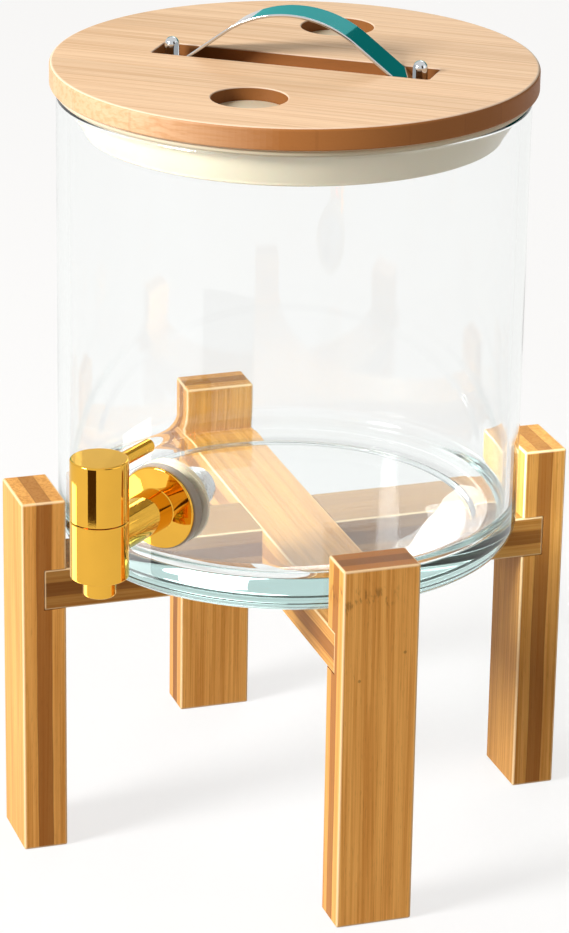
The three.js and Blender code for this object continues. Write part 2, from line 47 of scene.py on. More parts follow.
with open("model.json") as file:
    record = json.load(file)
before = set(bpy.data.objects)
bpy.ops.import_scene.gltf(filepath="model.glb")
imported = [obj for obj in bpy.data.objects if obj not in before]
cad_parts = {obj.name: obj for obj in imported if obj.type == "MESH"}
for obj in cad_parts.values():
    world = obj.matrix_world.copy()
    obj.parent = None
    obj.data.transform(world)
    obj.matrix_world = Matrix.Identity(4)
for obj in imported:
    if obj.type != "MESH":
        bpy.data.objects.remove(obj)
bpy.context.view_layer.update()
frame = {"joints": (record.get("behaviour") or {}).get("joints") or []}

MM = 0.001
TURN = 2 * math.pi
TINY = 1e-7
ARRIS_TILT = 0.35  # a corner's faces that lean more than this count as arris
EDGE_SHADE_MIDDLE = 0.72  # painted shade on the lid's edge where it faces across the fibres
EDGE_SHADE_RISE = 1.1  # how fast that painted shade deepens round from the lit left towards the front and right
EDGE_SHADE_LEAST = 0.3  # the least of it, where the edge is painted pale on the lit left
RIM_START = 0.77  # the lid's corner, sanded and painted pale as a highlight, ends where its edge leans more than this
POCKET_WALL_SHADE = 1.5  # what a pocket's wall counts as: a full cut end, and past that painted shade that makes it darker than any edge
GRAIN_STEP = 7  # leg widths between the places in the grain that two boards are cut from
GLASS_BOUNCES = 12

# Sides of what is turned, by its size
SMALL_HOLE_STEPS = 32
SMALL_STEPS = 64
MIDDLE_STEPS = 128
LID_STEPS = 256

PHOTO_WIDTH = 569
PHOTO_HEIGHT = 933


# Places from the frame

def span(node):
    low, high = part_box(node)
    return high - low


def middle(node):
    low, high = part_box(node)
    return (low + high) / 2


def joint_point(name):
    return Vector(next(joint["pos_m"] for joint in frame["joints"] if joint["name"] == name))


TAP_POINT = joint_point("tap_turn")
TAP_TURN = math.atan2(TAP_POINT.y, TAP_POINT.x)
TAP_DISTANCE = TAP_POINT.xy.length
TAP_PLACE = Matrix.Translation(TAP_POINT) @ Matrix.Rotation(TAP_TURN, 4, "Z")
POST_LINE = middle("domed_nut_right") - middle("domed_nut_left")
LID_TURN = math.atan2(POST_LINE.y, POST_LINE.x)
LID_PLACE = Matrix.Rotation(LID_TURN, 4, "Z")
POST_REACH = (middle("domed_nut_right") - middle("lid_board")).xy.length
JAR_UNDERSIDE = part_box("glass_jar")[0].z


# Values that a user would change

def length(name, description, default):
    return FloatProperty(name=name, description=description, default=default, unit="LENGTH", precision=5)


def angle(name, description, degrees):
    return FloatProperty(name=name, description=description, default=math.radians(degrees), unit="ROTATION")


def linear(code):
    """The linear colour of an sRGB hex value."""
    channels = [(code >> shift & 255) / 255 for shift in (16, 8, 0)]
    return [c / 12.92 if c <= 0.04045 else ((c + 0.055) / 1.055) ** 2.4 for c in channels]


def colour(name, description, code):
    return FloatVectorProperty(
        name=name, description=description, default=linear(code), subtype="COLOR", size=3, min=0, max=1
    )


class StandSizes(PropertyGroup):
    leg_width: length("Leg width", "Width of a leg, across its bar", span("leg_front").x)
    leg_thickness: length("Leg thickness", "Thickness of a leg, along its bar", span("leg_front").y)
    leg_height: length("Leg height", "Height of a leg", span("leg_front").z)
    leg_edge: length("Leg edge", "Radius of a leg's sanded edges", 0.9 * MM)
    leg_count: IntProperty(name="Legs", description="How many legs stand round the jar", default=4, min=2)
    bar_height: length("Bar height", "Height of a bar", span("cross_bar_side_to_side").z)
    bar_edge: length("Bar edge", "Radius of a bar's sanded edges", 0.7 * MM)
    joint_gap: length("Joint gap", "Glue line round a bar in its housing and in the halving", 0.1 * MM)
    ply_count: IntProperty(name="Plies", description="Bamboo plies glued up into a leg or bar", default=3)
    knuckle_height: length("Knuckle height", "Height of the culm's knuckle on the front leg", 136 * MM)
    knuckle_step: length("Knuckle step", "How much lower the knuckle lies on each leg before it", 150 * MM)
    # Leg tones step from the right leg round to the front leg. The right leg's darkest tone is painted shade
    # of the jar, and the front leg's tone darkens its cut ends as painted shade on its top.
    first_tone: FloatProperty(name="First tone", description="Tone of the right leg's bamboo", default=0.84)
    tone_step: FloatProperty(name="Tone step", description="How much lighter each next leg is", default=0.08)
    # The side-to-side bar's low tone is painted shade, from the jar above it.
    bar_shade_tone: FloatProperty(name="Bar tone", description="Tone of the side-to-side bar", default=0.52)


class JarSizes(PropertyGroup):
    radius: length("Radius", "Outside radius of the glass", span("glass_jar").x / 2)
    height: length("Height", "Height of the glass", span("glass_jar").z)
    wall: length("Wall", "Thickness of the glass wall", 4.5 * MM)
    base: length("Base", "Thickness of the glass base", 13 * MM)
    foot_round: length("Foot round", "Radius round the foot of the glass", 11 * MM)
    floor_round: length("Floor round", "Radius inside, where wall and floor meet", 8 * MM)
    punt_radius: length("Punt radius", "Radius of the slight hollow under the base", 70 * MM)
    punt_slope: length("Punt slope", "Width of the slope at the hollow's edge", 6 * MM)
    punt_depth: length("Punt depth", "Depth of the hollow under the base", 1.2 * MM)
    tap_hole: length("Tap hole", "Radius of the hole that takes the tap's shank", 8.2 * MM)
    ring_step: length("Ring step", "Height between the mesh's rings round the tap hole", 4 * MM)


class TapSizes(PropertyGroup):
    spout_reach: length("Spout reach", "From the flange's back to the spout's axis", 39.2 * MM)
    shank_radius: length("Shank radius", "Radius of the shank between body and flange", 8 * MM)
    thread_radius: length("Thread radius", "Radius over the crests of the shank's thread", 7.8 * MM)
    thread_depth: length("Thread depth", "Depth of the shank's thread", 0.7 * MM)
    thread_pitch: length("Thread pitch", "Pitch of the shank's thread", 1.5 * MM)
    thread_reach: length("Thread reach", "How far the thread reaches past the inside of the glass", 22 * MM)
    thread_chamfer: length("Thread chamfer", "Chamfer on the thread's end", 1 * MM)
    waterway: length("Waterway", "Radius of the bore through shank and nozzle", 4 * MM)
    flange_radius: length("Flange radius", "Radius of the flange", 15.8 * MM)
    flange_rim: length("Flange rim", "Thickness of the flange at its rim", 1.2 * MM)
    flange_hub: length("Flange hub", "Thickness of the flange at the shank", 2.6 * MM)
    body_radius: length("Body radius", "Radius of the upright body and the handle cap", 10.8 * MM)
    body_edge: length("Body edge", "Radius of the body's lower edge", 0.6 * MM)
    body_rise: length("Body rise", "From the shank's axis to the body's top", 8.2 * MM)
    body_drop: length("Body drop", "From the shank's axis to the ledge above the nozzle", 13.8 * MM)
    nozzle_radius: length("Nozzle radius", "Outside radius of the nozzle", 6.1 * MM)
    nozzle_edge: length("Nozzle edge", "Radius of the nozzle's rounded mouth", 1 * MM)
    nozzle_length: length("Nozzle length", "Length of the nozzle", 7.3 * MM)
    neck_radius: length("Neck radius", "Radius of the neck inside the cap", 9 * MM)
    neck_top: length("Neck top", "From the shank's axis to the neck's top", 17.4 * MM)
    edge: length("Fine edge", "Width of the smallest broken edges", 0.3 * MM)
    washer_radius: length("Washer radius", "Radius of the two silicone washers", 16.4 * MM)
    nut_flats: length("Nut flats", "Width across the shank nut's flats", 21 * MM)
    nut_chamfer: length("Nut chamfer", "Chamfer on the nut's corners", 1 * MM)
    nut_thickness: length("Nut thickness", "Thickness of the shank nut", 6 * MM)
    inner_washer: length("Inner washer", "Thickness of the silicone washer inside the glass", 3.4 * MM)
    steel_washer: length("Steel washer", "Thickness of the steel washer under the nut", 1.2 * MM)
    steel_radius: length("Steel washer radius", "Radius of the steel washer under the nut", 12.2 * MM)


class ValveSizes(PropertyGroup):
    plug_radius: length("Plug radius", "Radius of the turning plug", 6.3 * MM)
    plug_play: length("Plug play", "Gap between the plug and its bore", 0.1 * MM)
    ring_gap: length("O-ring gap", "Gap between an O-ring and the bore that it seals", 0.02 * MM)
    plug_drop: length("Plug drop", "From the shank's axis to the floor under the plug", 9 * MM)
    plug_bore: length("Plug bore", "Radius of the plug's outlet and window", 3.6 * MM)
    stem_radius: length("Stem radius", "Radius of the plug's stem", 4.8 * MM)
    groove_depth: length("Groove depth", "Depth of an O-ring groove", 1.3 * MM)
    groove_width: length("Groove width", "Width of an O-ring groove", 1.9 * MM)
    ring_offset: length("Ring offset", "Height of each O-ring above and below the shank's axis", 6.4 * MM)
    gland_radius: length("Gland radius", "Radius of the gland ring that keeps the plug in", 7.6 * MM)
    gland_thickness: length("Gland thickness", "Thickness of the gland ring", 3 * MM)


class TapHandleSizes(PropertyGroup):
    cap_bottom: length("Cap bottom", "From the shank's axis to the cap's skirt", 8.5 * MM)
    cap_height: length("Cap height", "Height of the handle cap", 23.4 * MM)
    cap_edge: length("Cap edge", "Radius of the cap's top edge", 0.7 * MM)
    cap_crown: length("Cap crown", "Metal left above the stem", 2 * MM)
    lever_radius: length("Lever radius", "Radius of the lever", 2.6 * MM)
    lever_reach: length("Lever reach", "From the spout's axis to the lever's end", 33 * MM)
    lever_height: length("Lever height", "From the shank's axis to the lever's axis", 26.6 * MM)
    lever_seat: length("Lever seat", "How far the lever's shoulder sinks into the cap", 0.8 * MM)
    lever_edge: length("Lever edge", "Radius of the lever's end", 0.6 * MM)
    screw_radius: length("Lever screw radius", "Radius of the lever's threaded end", 1.5 * MM)
    screw_reach: length("Lever screw reach", "Length of the lever's threaded end", 8.4 * MM)
    screw_pitch: length("Lever screw pitch", "Pitch of the lever's thread", 0.5 * MM)
    tooth_turn: angle("Tooth angle", "Half the angle that the stop tooth fills", 9)
    tooth_play: angle("Tooth play", "Free angle past each end of the tooth's travel", 1.5)
    tooth_reach: length("Tooth reach", "How far the stop tooth reaches into the neck", 1.1 * MM)
    tooth_height: length("Tooth height", "Height of the stop tooth", 3 * MM)


class LidSizes(PropertyGroup):
    radius: length("Board radius", "Radius of the bamboo board", 92.5 * MM)
    top_edge: length("Top edge", "Radius of the board's upper edge", 1.3 * MM)
    under_edge: length("Lower edge", "Radius of the board's lower edge", 0.9 * MM)
    pocket_edge: length("Pocket edge", "Radius of the broken edges of the slot and wells", 0.5 * MM)
    pocket_depth: length("Pocket depth", "Depth of the slot and the wells", 5 * MM)
    slot_length: length("Slot length", "Length of the slot under the handle", 109.4 * MM)
    slot_width: length("Slot width", "Width of the slot under the handle", 16.6 * MM)
    slot_corner: length("Slot corner", "Radius of the slot's corners", 1.4 * MM)
    well_radius: length("Well radius", "Radius of the two finger wells", 14.2 * MM)
    well_offset: length("Well offset", "From the lid's centre to a well's centre", 55 * MM)
    strip_width: length("Strip width", "Width of the bamboo strips in the board", 19 * MM)
    flange_thickness: length("Seal flange", "Thickness of the seal's flange on the rim", 1.5 * MM)
    flange_proud: length("Flange lip", "How far the flange's soft lip stands proud of the glass", 0.6 * MM)
    flange_wrap: length("Flange wrap", "How far the flange's lip wraps down over the glass rim", 1 * MM)
    seal_gap: length("Seal gap", "Play between the seal and the inside of the glass", 0.03 * MM)
    seal_band: length("Seal band", "Straight part of the skirt under the flange", 3 * MM)
    skirt_wall: length("Skirt wall", "Thickness of the skirt", 3 * MM)
    skirt_taper: length("Skirt taper", "How far the skirt narrows to its lip", 6 * MM)
    plate_thickness: length("Seal plate", "Thickness of the seal's plate under the board", 2.5 * MM)


class HandleSizes(PropertyGroup):
    width: length("Strap width", "Width of the strap", 15.6 * MM)
    thickness: length("Strap thickness", "Thickness of the strap", 1.2 * MM)
    edge: length("Strap edge", "Radius of the strap's long edges", 0.35 * MM)
    slope: angle("Leg slope", "Slope of the strap's straight legs", 37)
    bend: length("Bend radius", "Radius of the bend above each foot", 1.6 * MM)
    foot_reach: length("Foot reach", "From the lid's centre to the end of a foot", 53.1 * MM)
    foot_bend: length("Foot bend", "From the lid's centre to the bend above a foot", 45.2 * MM)
    tongue_width: length("Tongue width", "Width of the foot", 8 * MM)
    tongue_start: length("Tongue start", "Where the strap begins to narrow", 41.7 * MM)
    tongue_taper: length("Tongue taper", "Length of the chamfer that narrows it", 3.6 * MM)
    foot_corner: length("Foot corner", "Radius of the corners of a foot", 1.2 * MM)
    screw_radius: length("Screw radius", "Radius of the handle screws", 1.5 * MM)
    screw_pitch: length("Screw pitch", "Pitch of the handle screws", 0.5 * MM)
    head_radius: length("Head radius", "Radius of a screw's head", 3.6 * MM)
    head_height: length("Head height", "Height of a screw's head", 2.2 * MM)
    recess_depth: length("Recess depth", "Depth of the cross recess", 1 * MM)
    recess_width: length("Recess width", "Width of the cross recess's slots", 0.9 * MM)
    recess_length: length("Recess length", "Length of the cross recess's slots", 3.8 * MM)
    washer_edge: length("Washer edge", "Broken edge of the screw washers", 0.15 * MM)
    hole_gap: length("Hole gap", "Play round a screw in its holes", 0.2 * MM)
    dome_radius: length("Dome radius", "Radius of the domed nuts", 2.8 * MM)
    dome_foot_radius: length("Dome foot radius", "Radius of the domed nut's foot", 3.5 * MM)
    dome_foot_height: length("Dome foot height", "Height of the domed nut's foot", 0.9 * MM)


class FinishColours(PropertyGroup):
    stand_light: colour("Stand, light", "Light fibres of the stand's bamboo", 0xEDB060)
    stand_dark: colour("Stand, dark", "Dark fibres of the stand's bamboo", 0xB9742A)
    stand_end: colour("Stand, ends", "Cut fibre ends of the stand's bamboo", 0x8E5519)
    stand_flank: colour("Stand, flanks", "Ply edges on the sides of the stand's bamboo", 0xB06C1C)
    stand_core: colour("Stand, core", "Middle ply of the stand's bamboo", 0x8A4C18)
    # The corner colours are sanded wood painted paler, as a highlight along the edges.
    stand_arris_highlight: colour("Stand, arris", "Sanded corners of the stand's bamboo", 0xF8DDB2)
    lid_light: colour("Lid, light", "Light fibres of the lid's bamboo", 0xF1CCA6)
    lid_dark: colour("Lid, dark", "Dark fibres of the lid's bamboo", 0xD9AC80)
    # The lid's darker edge colour, mixed in as painted shade: least on the lit left, full round the front and
    # right.
    lid_edge_and_shade: colour("Lid, edge", "The lid's oiled edge, where fibres are cut", 0xA36733)
    lid_arris_highlight: colour("Lid, arris", "The lid's sanded corners", 0xFCE9D2)
    glue: colour("Glue line", "Glue lines between the plies and strips", 0x7A4A20)
    gold: colour("Gold plate", "Colour of the gold plate", 0xE6AF43)
    gold_graze: colour("Gold, aslant", "Tint of what the gold plate mirrors at a low angle", 0xFFFAE0)
    brass: colour("Brass", "Colour of the bare brass", 0xC79A4E)
    steel: colour("Steel", "Colour of the stainless steel", 0xC9CCCE)
    cream: colour("Cream silicone", "Colour of the lid's seal and the inner washer", 0xD2C5AB)
    grey: colour("Grey silicone", "Colour of the outer washer", 0xA79C8F)
    rubber: colour("Rubber", "Colour of the O-rings", 0x1D1D1D)
    glass_edge: colour("Glass tint", "What a thick edge of the glass lets through", 0xBFE0DC)
    paper: colour("Floor", "Colour of the floor", 0xF2F2F2)
    paper_bounce: colour("Floor bounce", "Colour of the light that the floor throws back", 0xB0B0B0)
    card_light: colour("Light card", "The lighter blue-green card behind the object", 0x50BCBA)
    card_deep: colour("Deep card", "The deeper blue-green card behind the object", 0x107975)
    card_black: colour("Dark card", "The dark cards in front of the object", 0x4E3A2A)
    card_white: colour("White card", "The bright cards beside the tap and behind the strap", 0xFFFFFF)
    sky_tint: colour("Sky tint", "Colour of the world's light", 0xFFF1DE)


class StageValues(PropertyGroup):
    azimuth: angle("Camera azimuth", "Camera's turn about the object, from -Y towards +X", -18.438)
    elevation: angle("Camera elevation", "Camera's height above the horizon", 21.058)
    roll: angle("Camera roll", "Camera's turn about its own line of sight", 0.947)
    distance: length("Camera distance", "From the camera to the point that it looks at", 1498.05 * MM)
    target_height: length("Target height", "Height of the point that the camera looks at", 144.52 * MM)
    target_side: length("Target side", "That point's place to the camera's right of the axis", -1.4 * MM)
    focal_pixels: FloatProperty(
        name="Focal length", description="Focal length in pixels of the photograph", default=3822.3
    )
    sensor: FloatProperty(name="Sensor", description="Sensor width in millimetres", default=36)
    floor_size: length("Floor size", "Side of the square floor", 24)
    floor_gap: length("Floor gap", "How far the floor lies under the feet", 0.05 * MM)
    key_power: FloatProperty(name="Key lamp", description="Power of the key lamp", default=66, unit="POWER")
    fill_power: FloatProperty(name="Fill lamp", description="Power of the fill lamp", default=3, unit="POWER")
    back_power: FloatProperty(name="Back lamp", description="Power of the back lamp", default=6, unit="POWER")
    sky: FloatProperty(name="Sky", description="Strength of the world's light", default=0.35)
    paper_white: FloatProperty(
        name="Paper white", description="How much of the floor's white is its own", default=0.75, min=0, max=1
    )


def values(group):
    """One of this part's groups of values, as the scene holds it."""
    return getattr(bpy.context.scene, "dispenser_" + group)


# Meshes

def arc(centre, radius, start, end, steps=8):
    """Points round a centre, from one angle to another in degrees, from +r towards +z."""
    points = []
    for i in range(steps + 1):
        turn = math.radians(start + (end - start) * i / steps)
        points.append((centre[0] + radius * math.cos(turn), centre[1] + radius * math.sin(turn)))
    return points


def box_profile(inner, outer, bottom, top, edge=0):
    """A ring's section with its outer edges broken, from the bottom round to the top."""
    section = [(inner, bottom), (outer - edge, bottom), (outer, bottom + edge)]
    section += [(outer, top - edge), (outer - edge, top), (inner, top)]
    return section if edge else [(inner, bottom), (outer, bottom), (outer, top), (inner, top)]


def turned(profile, steps=96):
    """A closed mesh turned about Z. The profile runs anticlockwise, from axis to axis or round a ring."""
    work = bmesh.new()
    circle = [(math.cos(TURN * i / steps), math.sin(TURN * i / steps)) for i in range(steps)]
    rings = []
    for radius, height in profile:
        if radius < TINY:
            rings.append([work.verts.new((0, 0, height))] * steps)
        else:
            rings.append([work.verts.new((radius * x, radius * y, height)) for x, y in circle])
    closed = rings + rings[:1] if profile[0][0] > TINY else rings
    for low, high in zip(closed, closed[1:]):
        for i in range(steps):
            j = (i + 1) % steps
            corners = []
            for corner in (low[i], low[j], high[j], high[i]):
                if corner not in corners:
                    corners.append(corner)
            if len(corners) > 2:
                work.faces.new(corners)
    return to_mesh(work)


def rod(radius, bottom, top, steps=96):
    """A closed cylinder about Z."""
    return turned([(0, bottom), (radius, bottom), (radius, top), (0, top)], steps)


def to_mesh(work):
    mesh = bpy.data.meshes.new("work")
    work.to_mesh(mesh)
    work.free()
    return mesh


def moved(mesh, *places):
    """The mesh taken through each matrix in turn."""
    for place in places:
        mesh.transform(place)
    return mesh


def shift(x, y, z):
    return Matrix.Translation((x, y, z))


ALONG_X = Matrix.Rotation(math.pi / 2, 4, "Y")
ALONG_Y = Matrix.Rotation(-math.pi / 2, 4, "X")


def board(size, edge, steps=4):
    """A block with rounded edges, centred on the origin."""
    work = bmesh.new()
    bmesh.ops.create_cube(work, size=1)
    bmesh.ops.scale(work, vec=size, verts=work.verts)
    if edge:
        bmesh.ops.bevel(work, geom=work.edges[:], offset=edge, segments=steps, profile=0.5, affect="EDGES")
    return to_mesh(work)


def rounded_outline(width, height, corner, steps=6):
    """The corners of a rounded rectangle, anticlockwise."""
    points = []
    half = (width / 2 - corner, height / 2 - corner)
    for sign_x, sign_y, start in ((1, -1, -90), (1, 1, 0), (-1, 1, 90), (-1, -1, 180)):
        points += arc((sign_x * half[0], sign_y * half[1]), corner, start, start + 90, steps)
    return points


def lofted(sections):
    """A closed solid through sections of equal count, each a ring of points, with flat ends."""
    work = bmesh.new()
    rings = [[work.verts.new(point) for point in section] for section in sections]
    count = len(rings[0])
    for low, high in zip(rings, rings[1:]):
        for i in range(count):
            j = (i + 1) % count
            work.faces.new((low[i], low[j], high[j], high[i]))
    work.faces.new(rings[0][::-1])
    work.faces.new(rings[-1])
    bmesh.ops.recalc_face_normals(work, faces=work.faces[:])
    return to_mesh(work)


def evaluated(item):
    """A plain mesh of the object with its modifiers, and the object removed."""
    graph = bpy.context.evaluated_depsgraph_get()
    mesh = bpy.data.meshes.new_from_object(item.evaluated_get(graph), depsgraph=graph)
    bpy.data.objects.remove(item)
    return mesh


def helper(mesh):
    item = bpy.data.objects.new("work", mesh)
    bpy.context.scene.collection.objects.link(item)
    return item


def carved(mesh, *steps):
    """The mesh after each ("DIFFERENCE", "UNION" or "INTERSECT", tool mesh) step, by the exact solver."""
    item = helper(mesh)
    tools = []
    for operation, tool in steps:
        tools.append(helper(tool))
        modifier = item.modifiers.new(operation.title(), "BOOLEAN")
        modifier.operation = operation
        modifier.solver = "EXACT"
        modifier.object = tools[-1]
    result = evaluated(item)
    for tool in tools:
        bpy.data.objects.remove(tool)
    return result


def square_marks(face, through, across, along):
    """How much a square board's face shows of cut fibre ends, of a sanded corner painted pale as a highlight,
    and of the plies' edges.
    """
    leaning = sorted(abs(entry) for entry in face.normal)[1]
    return abs(face.normal.dot(along)), min(leaning / ARRIS_TILT, 1), abs(face.normal.dot(across))


def round_marks(face, through, across, along):
    """The same for the round lid. Its oiled edge is painted with light and shade: pale on the lit left,
    darker round the shaded front and right.
    """
    s = values("lid")
    upright = abs(face.normal.dot(through))
    side = math.sqrt(max(1 - upright ** 2, 0))
    in_pocket = face.center.xy.length < s.well_offset + s.well_radius + s.pocket_edge
    # Painted light and shade on the edge: pale on the lit left, darker round the front and right.
    rim = min(max(EDGE_SHADE_MIDDLE + EDGE_SHADE_RISE * face.normal.dot(along), EDGE_SHADE_LEAST), 1)
    if not in_pocket and upright < RIM_START:
        return rim, 0, 0
    leaning = min(side, upright)
    return side * (POCKET_WALL_SHADE if in_pocket else rim), min(leaning / ARRIS_TILT, 1), 0


def lay_grain(mesh, to_board, board_tone=1.0, marks_of=square_marks):
    """Stores where each corner lies in its board: x through the plies, y across the strips and z along the
    fibres. Stores the board's own tone, partly painted shade, and for each face the three marks that the
    finish reads, some of which paint light and shade."""
    grain = mesh.attributes.new("grain", "FLOAT_VECTOR", "POINT")
    for vertex, entry in zip(mesh.vertices, grain.data):
        entry.vector = to_board @ vertex.co
    tone = mesh.attributes.new("board_tone", "FLOAT", "POINT")
    for entry in tone.data:
        entry.value = board_tone
    marks = mesh.attributes.new("marks", "FLOAT_VECTOR", "FACE")
    axes = [Vector(row[:3]).normalized() for row in to_board[:3]]
    for face, entry in zip(mesh.polygons, marks.data):
        entry.vector = marks_of(face, *axes)
    return mesh


def show(name, mesh, material, body, nodes, crease=30):
    """Makes the finished piece on its body, in place of its nodes. It is smooth between its sharp edges, and
    its wide faces stay flat up to their rounded edges."""
    mesh.shade_smooth()
    mesh.set_sharp_from_angle(angle=math.radians(crease))
    blank = helper(mesh)
    blank.modifiers.new("Wide faces", "WEIGHTED_NORMAL").keep_sharp = True
    mesh = evaluated(blank)
    mesh.name = name
    mesh.materials.clear()
    mesh.materials.append(material)
    item = bpy.data.objects.new(name, mesh)
    bpy.context.scene.collection.objects.link(item)
    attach(item, body)
    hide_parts(*nodes)


# Node trees

MATH = "ShaderNodeMath"
VECTOR_MATH = "ShaderNodeVectorMath"
RANGE = "ShaderNodeMapRange"
SMOOTH = {"interpolation_type": "SMOOTHSTEP"}


def add(tree, kind, inputs=(), **settings):
    """Adds a node, gives it its settings, and fills its inputs, which are named or in the node's own order,
    with values or other nodes' outputs."""
    made = tree.nodes.new(kind)
    for name, value in settings.items():
        setattr(made, name, value)
    named = inputs if isinstance(inputs, dict) else dict(enumerate(inputs))
    for socket, value in named.items():
        if isinstance(value, bpy.types.Node):
            tree.links.new(value.outputs[0], made.inputs[socket])
        elif isinstance(value, bpy.types.NodeSocket):
            tree.links.new(value, made.inputs[socket])
        else:
            made.inputs[socket].default_value = value
    return made


def material(name):
    """An empty material by that name, and its tree."""
    made = bpy.data.materials.new(name)
    made.use_nodes = True
    made.node_tree.nodes.clear()
    return made, made.node_tree


def geometry_tree(name, inputs):
    """An empty geometry tree, with its named inputs as (name, socket type, default) and its input node."""
    tree = bpy.data.node_groups.new(name, "GeometryNodeTree")
    tree.interface.new_socket("Geometry", in_out="OUTPUT", socket_type="NodeSocketGeometry")
    tree.interface.new_socket("Geometry", in_out="INPUT", socket_type="NodeSocketGeometry")
    for label, kind, default in inputs:
        socket = tree.interface.new_socket(label, in_out="INPUT", socket_type="NodeSocket" + kind)
        if default is not None:
            socket.default_value = default
    return tree, add(tree, "NodeGroupInput")


def grown(tree, settings):
    """The plain mesh that a geometry tree makes with these inputs."""
    item = helper(bpy.data.meshes.new("work"))
    modifier = item.modifiers.new("Nodes", "NODES")
    modifier.node_group = tree
    for entry in tree.interface.items_tree:
        if entry.in_out == "INPUT" and entry.name in settings:
            modifier[entry.identifier] = settings[entry.name]
    return evaluated(item)


def leg_tree():
    """Stands copies of a leg round the Z axis, with other grain and another tone in each."""
    tree, given = geometry_tree("Legs round the jar", [
        ("Leg", "Object", None),
        ("Count", "Int", 4),
        ("First Knuckle", "Float", 0.0),
        ("Knuckle Step", "Float", 0.0),
        ("Strip Step", "Float", 0.0),
        ("First Tone", "Float", 1.0),
        ("Tone Step", "Float", 0.0),
        ("Material", "Material", None),
    ])
    leg = add(tree, "GeometryNodeObjectInfo", {"Object": given.outputs["Leg"]})
    places = add(tree, "GeometryNodeMeshLine", {"Count": given.outputs["Count"], "Offset": (0, 0, 0)})
    index = add(tree, "GeometryNodeInputIndex")
    step = add(tree, MATH, (TURN, given.outputs["Count"]), operation="DIVIDE")
    turn = add(tree, MATH, (index, step), operation="MULTIPLY")
    copies = add(tree, "GeometryNodeInstanceOnPoints", {
        "Points": places,
        "Instance": leg.outputs["Geometry"],
        "Rotation": add(tree, "ShaderNodeCombineXYZ", {"Z": turn}),
    })
    lifts = (index, given.outputs["Knuckle Step"], given.outputs["First Knuckle"])
    lift = add(tree, MATH, lifts, operation="MULTIPLY_ADD")
    across = add(tree, MATH, (index, given.outputs["Strip Step"]), operation="MULTIPLY")
    tones = (index, given.outputs["Tone Step"], given.outputs["First Tone"])
    tone = add(tree, MATH, tones, operation="MULTIPLY_ADD")
    marked = add(tree, "GeometryNodeStoreNamedAttribute", {
        "Geometry": copies,
        "Name": "of_this_leg",
        "Value": add(tree, "ShaderNodeCombineXYZ", (tone, across, lift)),
    }, data_type="FLOAT_VECTOR", domain="INSTANCE")
    real = add(tree, "GeometryNodeRealizeInstances", {"Geometry": marked})
    grain = add(tree, "GeometryNodeInputNamedAttribute", {"Name": "grain"}, data_type="FLOAT_VECTOR")
    of_leg = add(tree, "GeometryNodeInputNamedAttribute", {"Name": "of_this_leg"}, data_type="FLOAT_VECTOR")
    moved_by = add(tree, VECTOR_MATH, (of_leg, (0, 1, 1)), operation="MULTIPLY")
    own = add(tree, VECTOR_MATH, (grain, moved_by), operation="SUBTRACT")
    laid = add(tree, "GeometryNodeStoreNamedAttribute", {
        "Geometry": real,
        "Name": "grain",
        "Value": own,
    }, data_type="FLOAT_VECTOR", domain="POINT")
    toned = add(tree, "GeometryNodeStoreNamedAttribute", {
        "Geometry": laid,
        "Name": "board_tone",
        "Value": add(tree, "ShaderNodeSeparateXYZ", (of_leg,)).outputs["X"],
    }, data_type="FLOAT", domain="POINT")
    tidy = add(tree, "GeometryNodeRemoveAttribute", {"Geometry": toned, "Name": "of_this_leg"})
    done = add(tree, "GeometryNodeSetMaterial", {"Geometry": tidy, "Material": given.outputs["Material"]})
    add(tree, "NodeGroupOutput", {"Geometry": done})
    return tree


def post_tree():
    """Puts a copy of a part at each of the strap's two posts."""
    tree, given = geometry_tree("Pair at the posts", [
        ("Part", "Object", None),
        ("Start", "Vector", (0, 0, 0)),
        ("Step", "Vector", (0, 0, 0)),
        ("Count", "Int", 2),
        ("Turn", "Float", 0.0),
        ("Material", "Material", None),
    ])
    part = add(tree, "GeometryNodeObjectInfo", {"Object": given.outputs["Part"]})
    line = add(tree, "GeometryNodeMeshLine", {
        "Count": given.outputs["Count"],
        "Start Location": given.outputs["Start"],
        "Offset": given.outputs["Step"],
    })
    copies = add(tree, "GeometryNodeInstanceOnPoints", {
        "Points": line,
        "Instance": part.outputs["Geometry"],
        "Rotation": add(tree, "ShaderNodeCombineXYZ", {"Z": given.outputs["Turn"]}),
    })
    real = add(tree, "GeometryNodeRealizeInstances", {"Geometry": copies})
    done = add(tree, "GeometryNodeSetMaterial", {"Geometry": real, "Material": given.outputs["Material"]})
    add(tree, "NodeGroupOutput", {"Geometry": done})
    return tree


def thread_tree():
    """Winds the ridge of a screw thread up the Z axis: a four-sided section swept along a spiral."""
    tree, given = geometry_tree("Screw thread", [
        ("Core", "Float", 0.0),
        ("Depth", "Float", 0.0),
        ("Pitch", "Float", 0.0),
        ("Length", "Float", 0.0),
        ("Steps", "Int", 40),
        ("Material", "Material", None),
    ])
    turns = add(tree, MATH, (given.outputs["Length"], given.outputs["Pitch"]), operation="DIVIDE")
    spiral = add(tree, "GeometryNodeCurveSpiral", {
        "Resolution": given.outputs["Steps"],
        "Rotations": turns,
        "Start Radius": given.outputs["Core"],
        "End Radius": given.outputs["Core"],
        "Height": given.outputs["Length"],
    })
    upright = add(tree, "GeometryNodeSetCurveNormal", {"Curve": spiral}, mode="Z_UP")
    section = add(tree, "GeometryNodeCurvePrimitiveCircle", {
        "Resolution": 4,
        "Radius": given.outputs["Depth"],
    }, mode="RADIUS")
    swept = add(tree, "GeometryNodeCurveToMesh", {
        "Curve": upright,
        "Profile Curve": section,
        "Fill Caps": True,
    })
    real = add(tree, "GeometryNodeRealizeInstances", {"Geometry": swept})
    done = add(tree, "GeometryNodeSetMaterial", {"Geometry": real, "Material": given.outputs["Material"]})
    add(tree, "NodeGroupOutput", {"Geometry": done})
    return tree


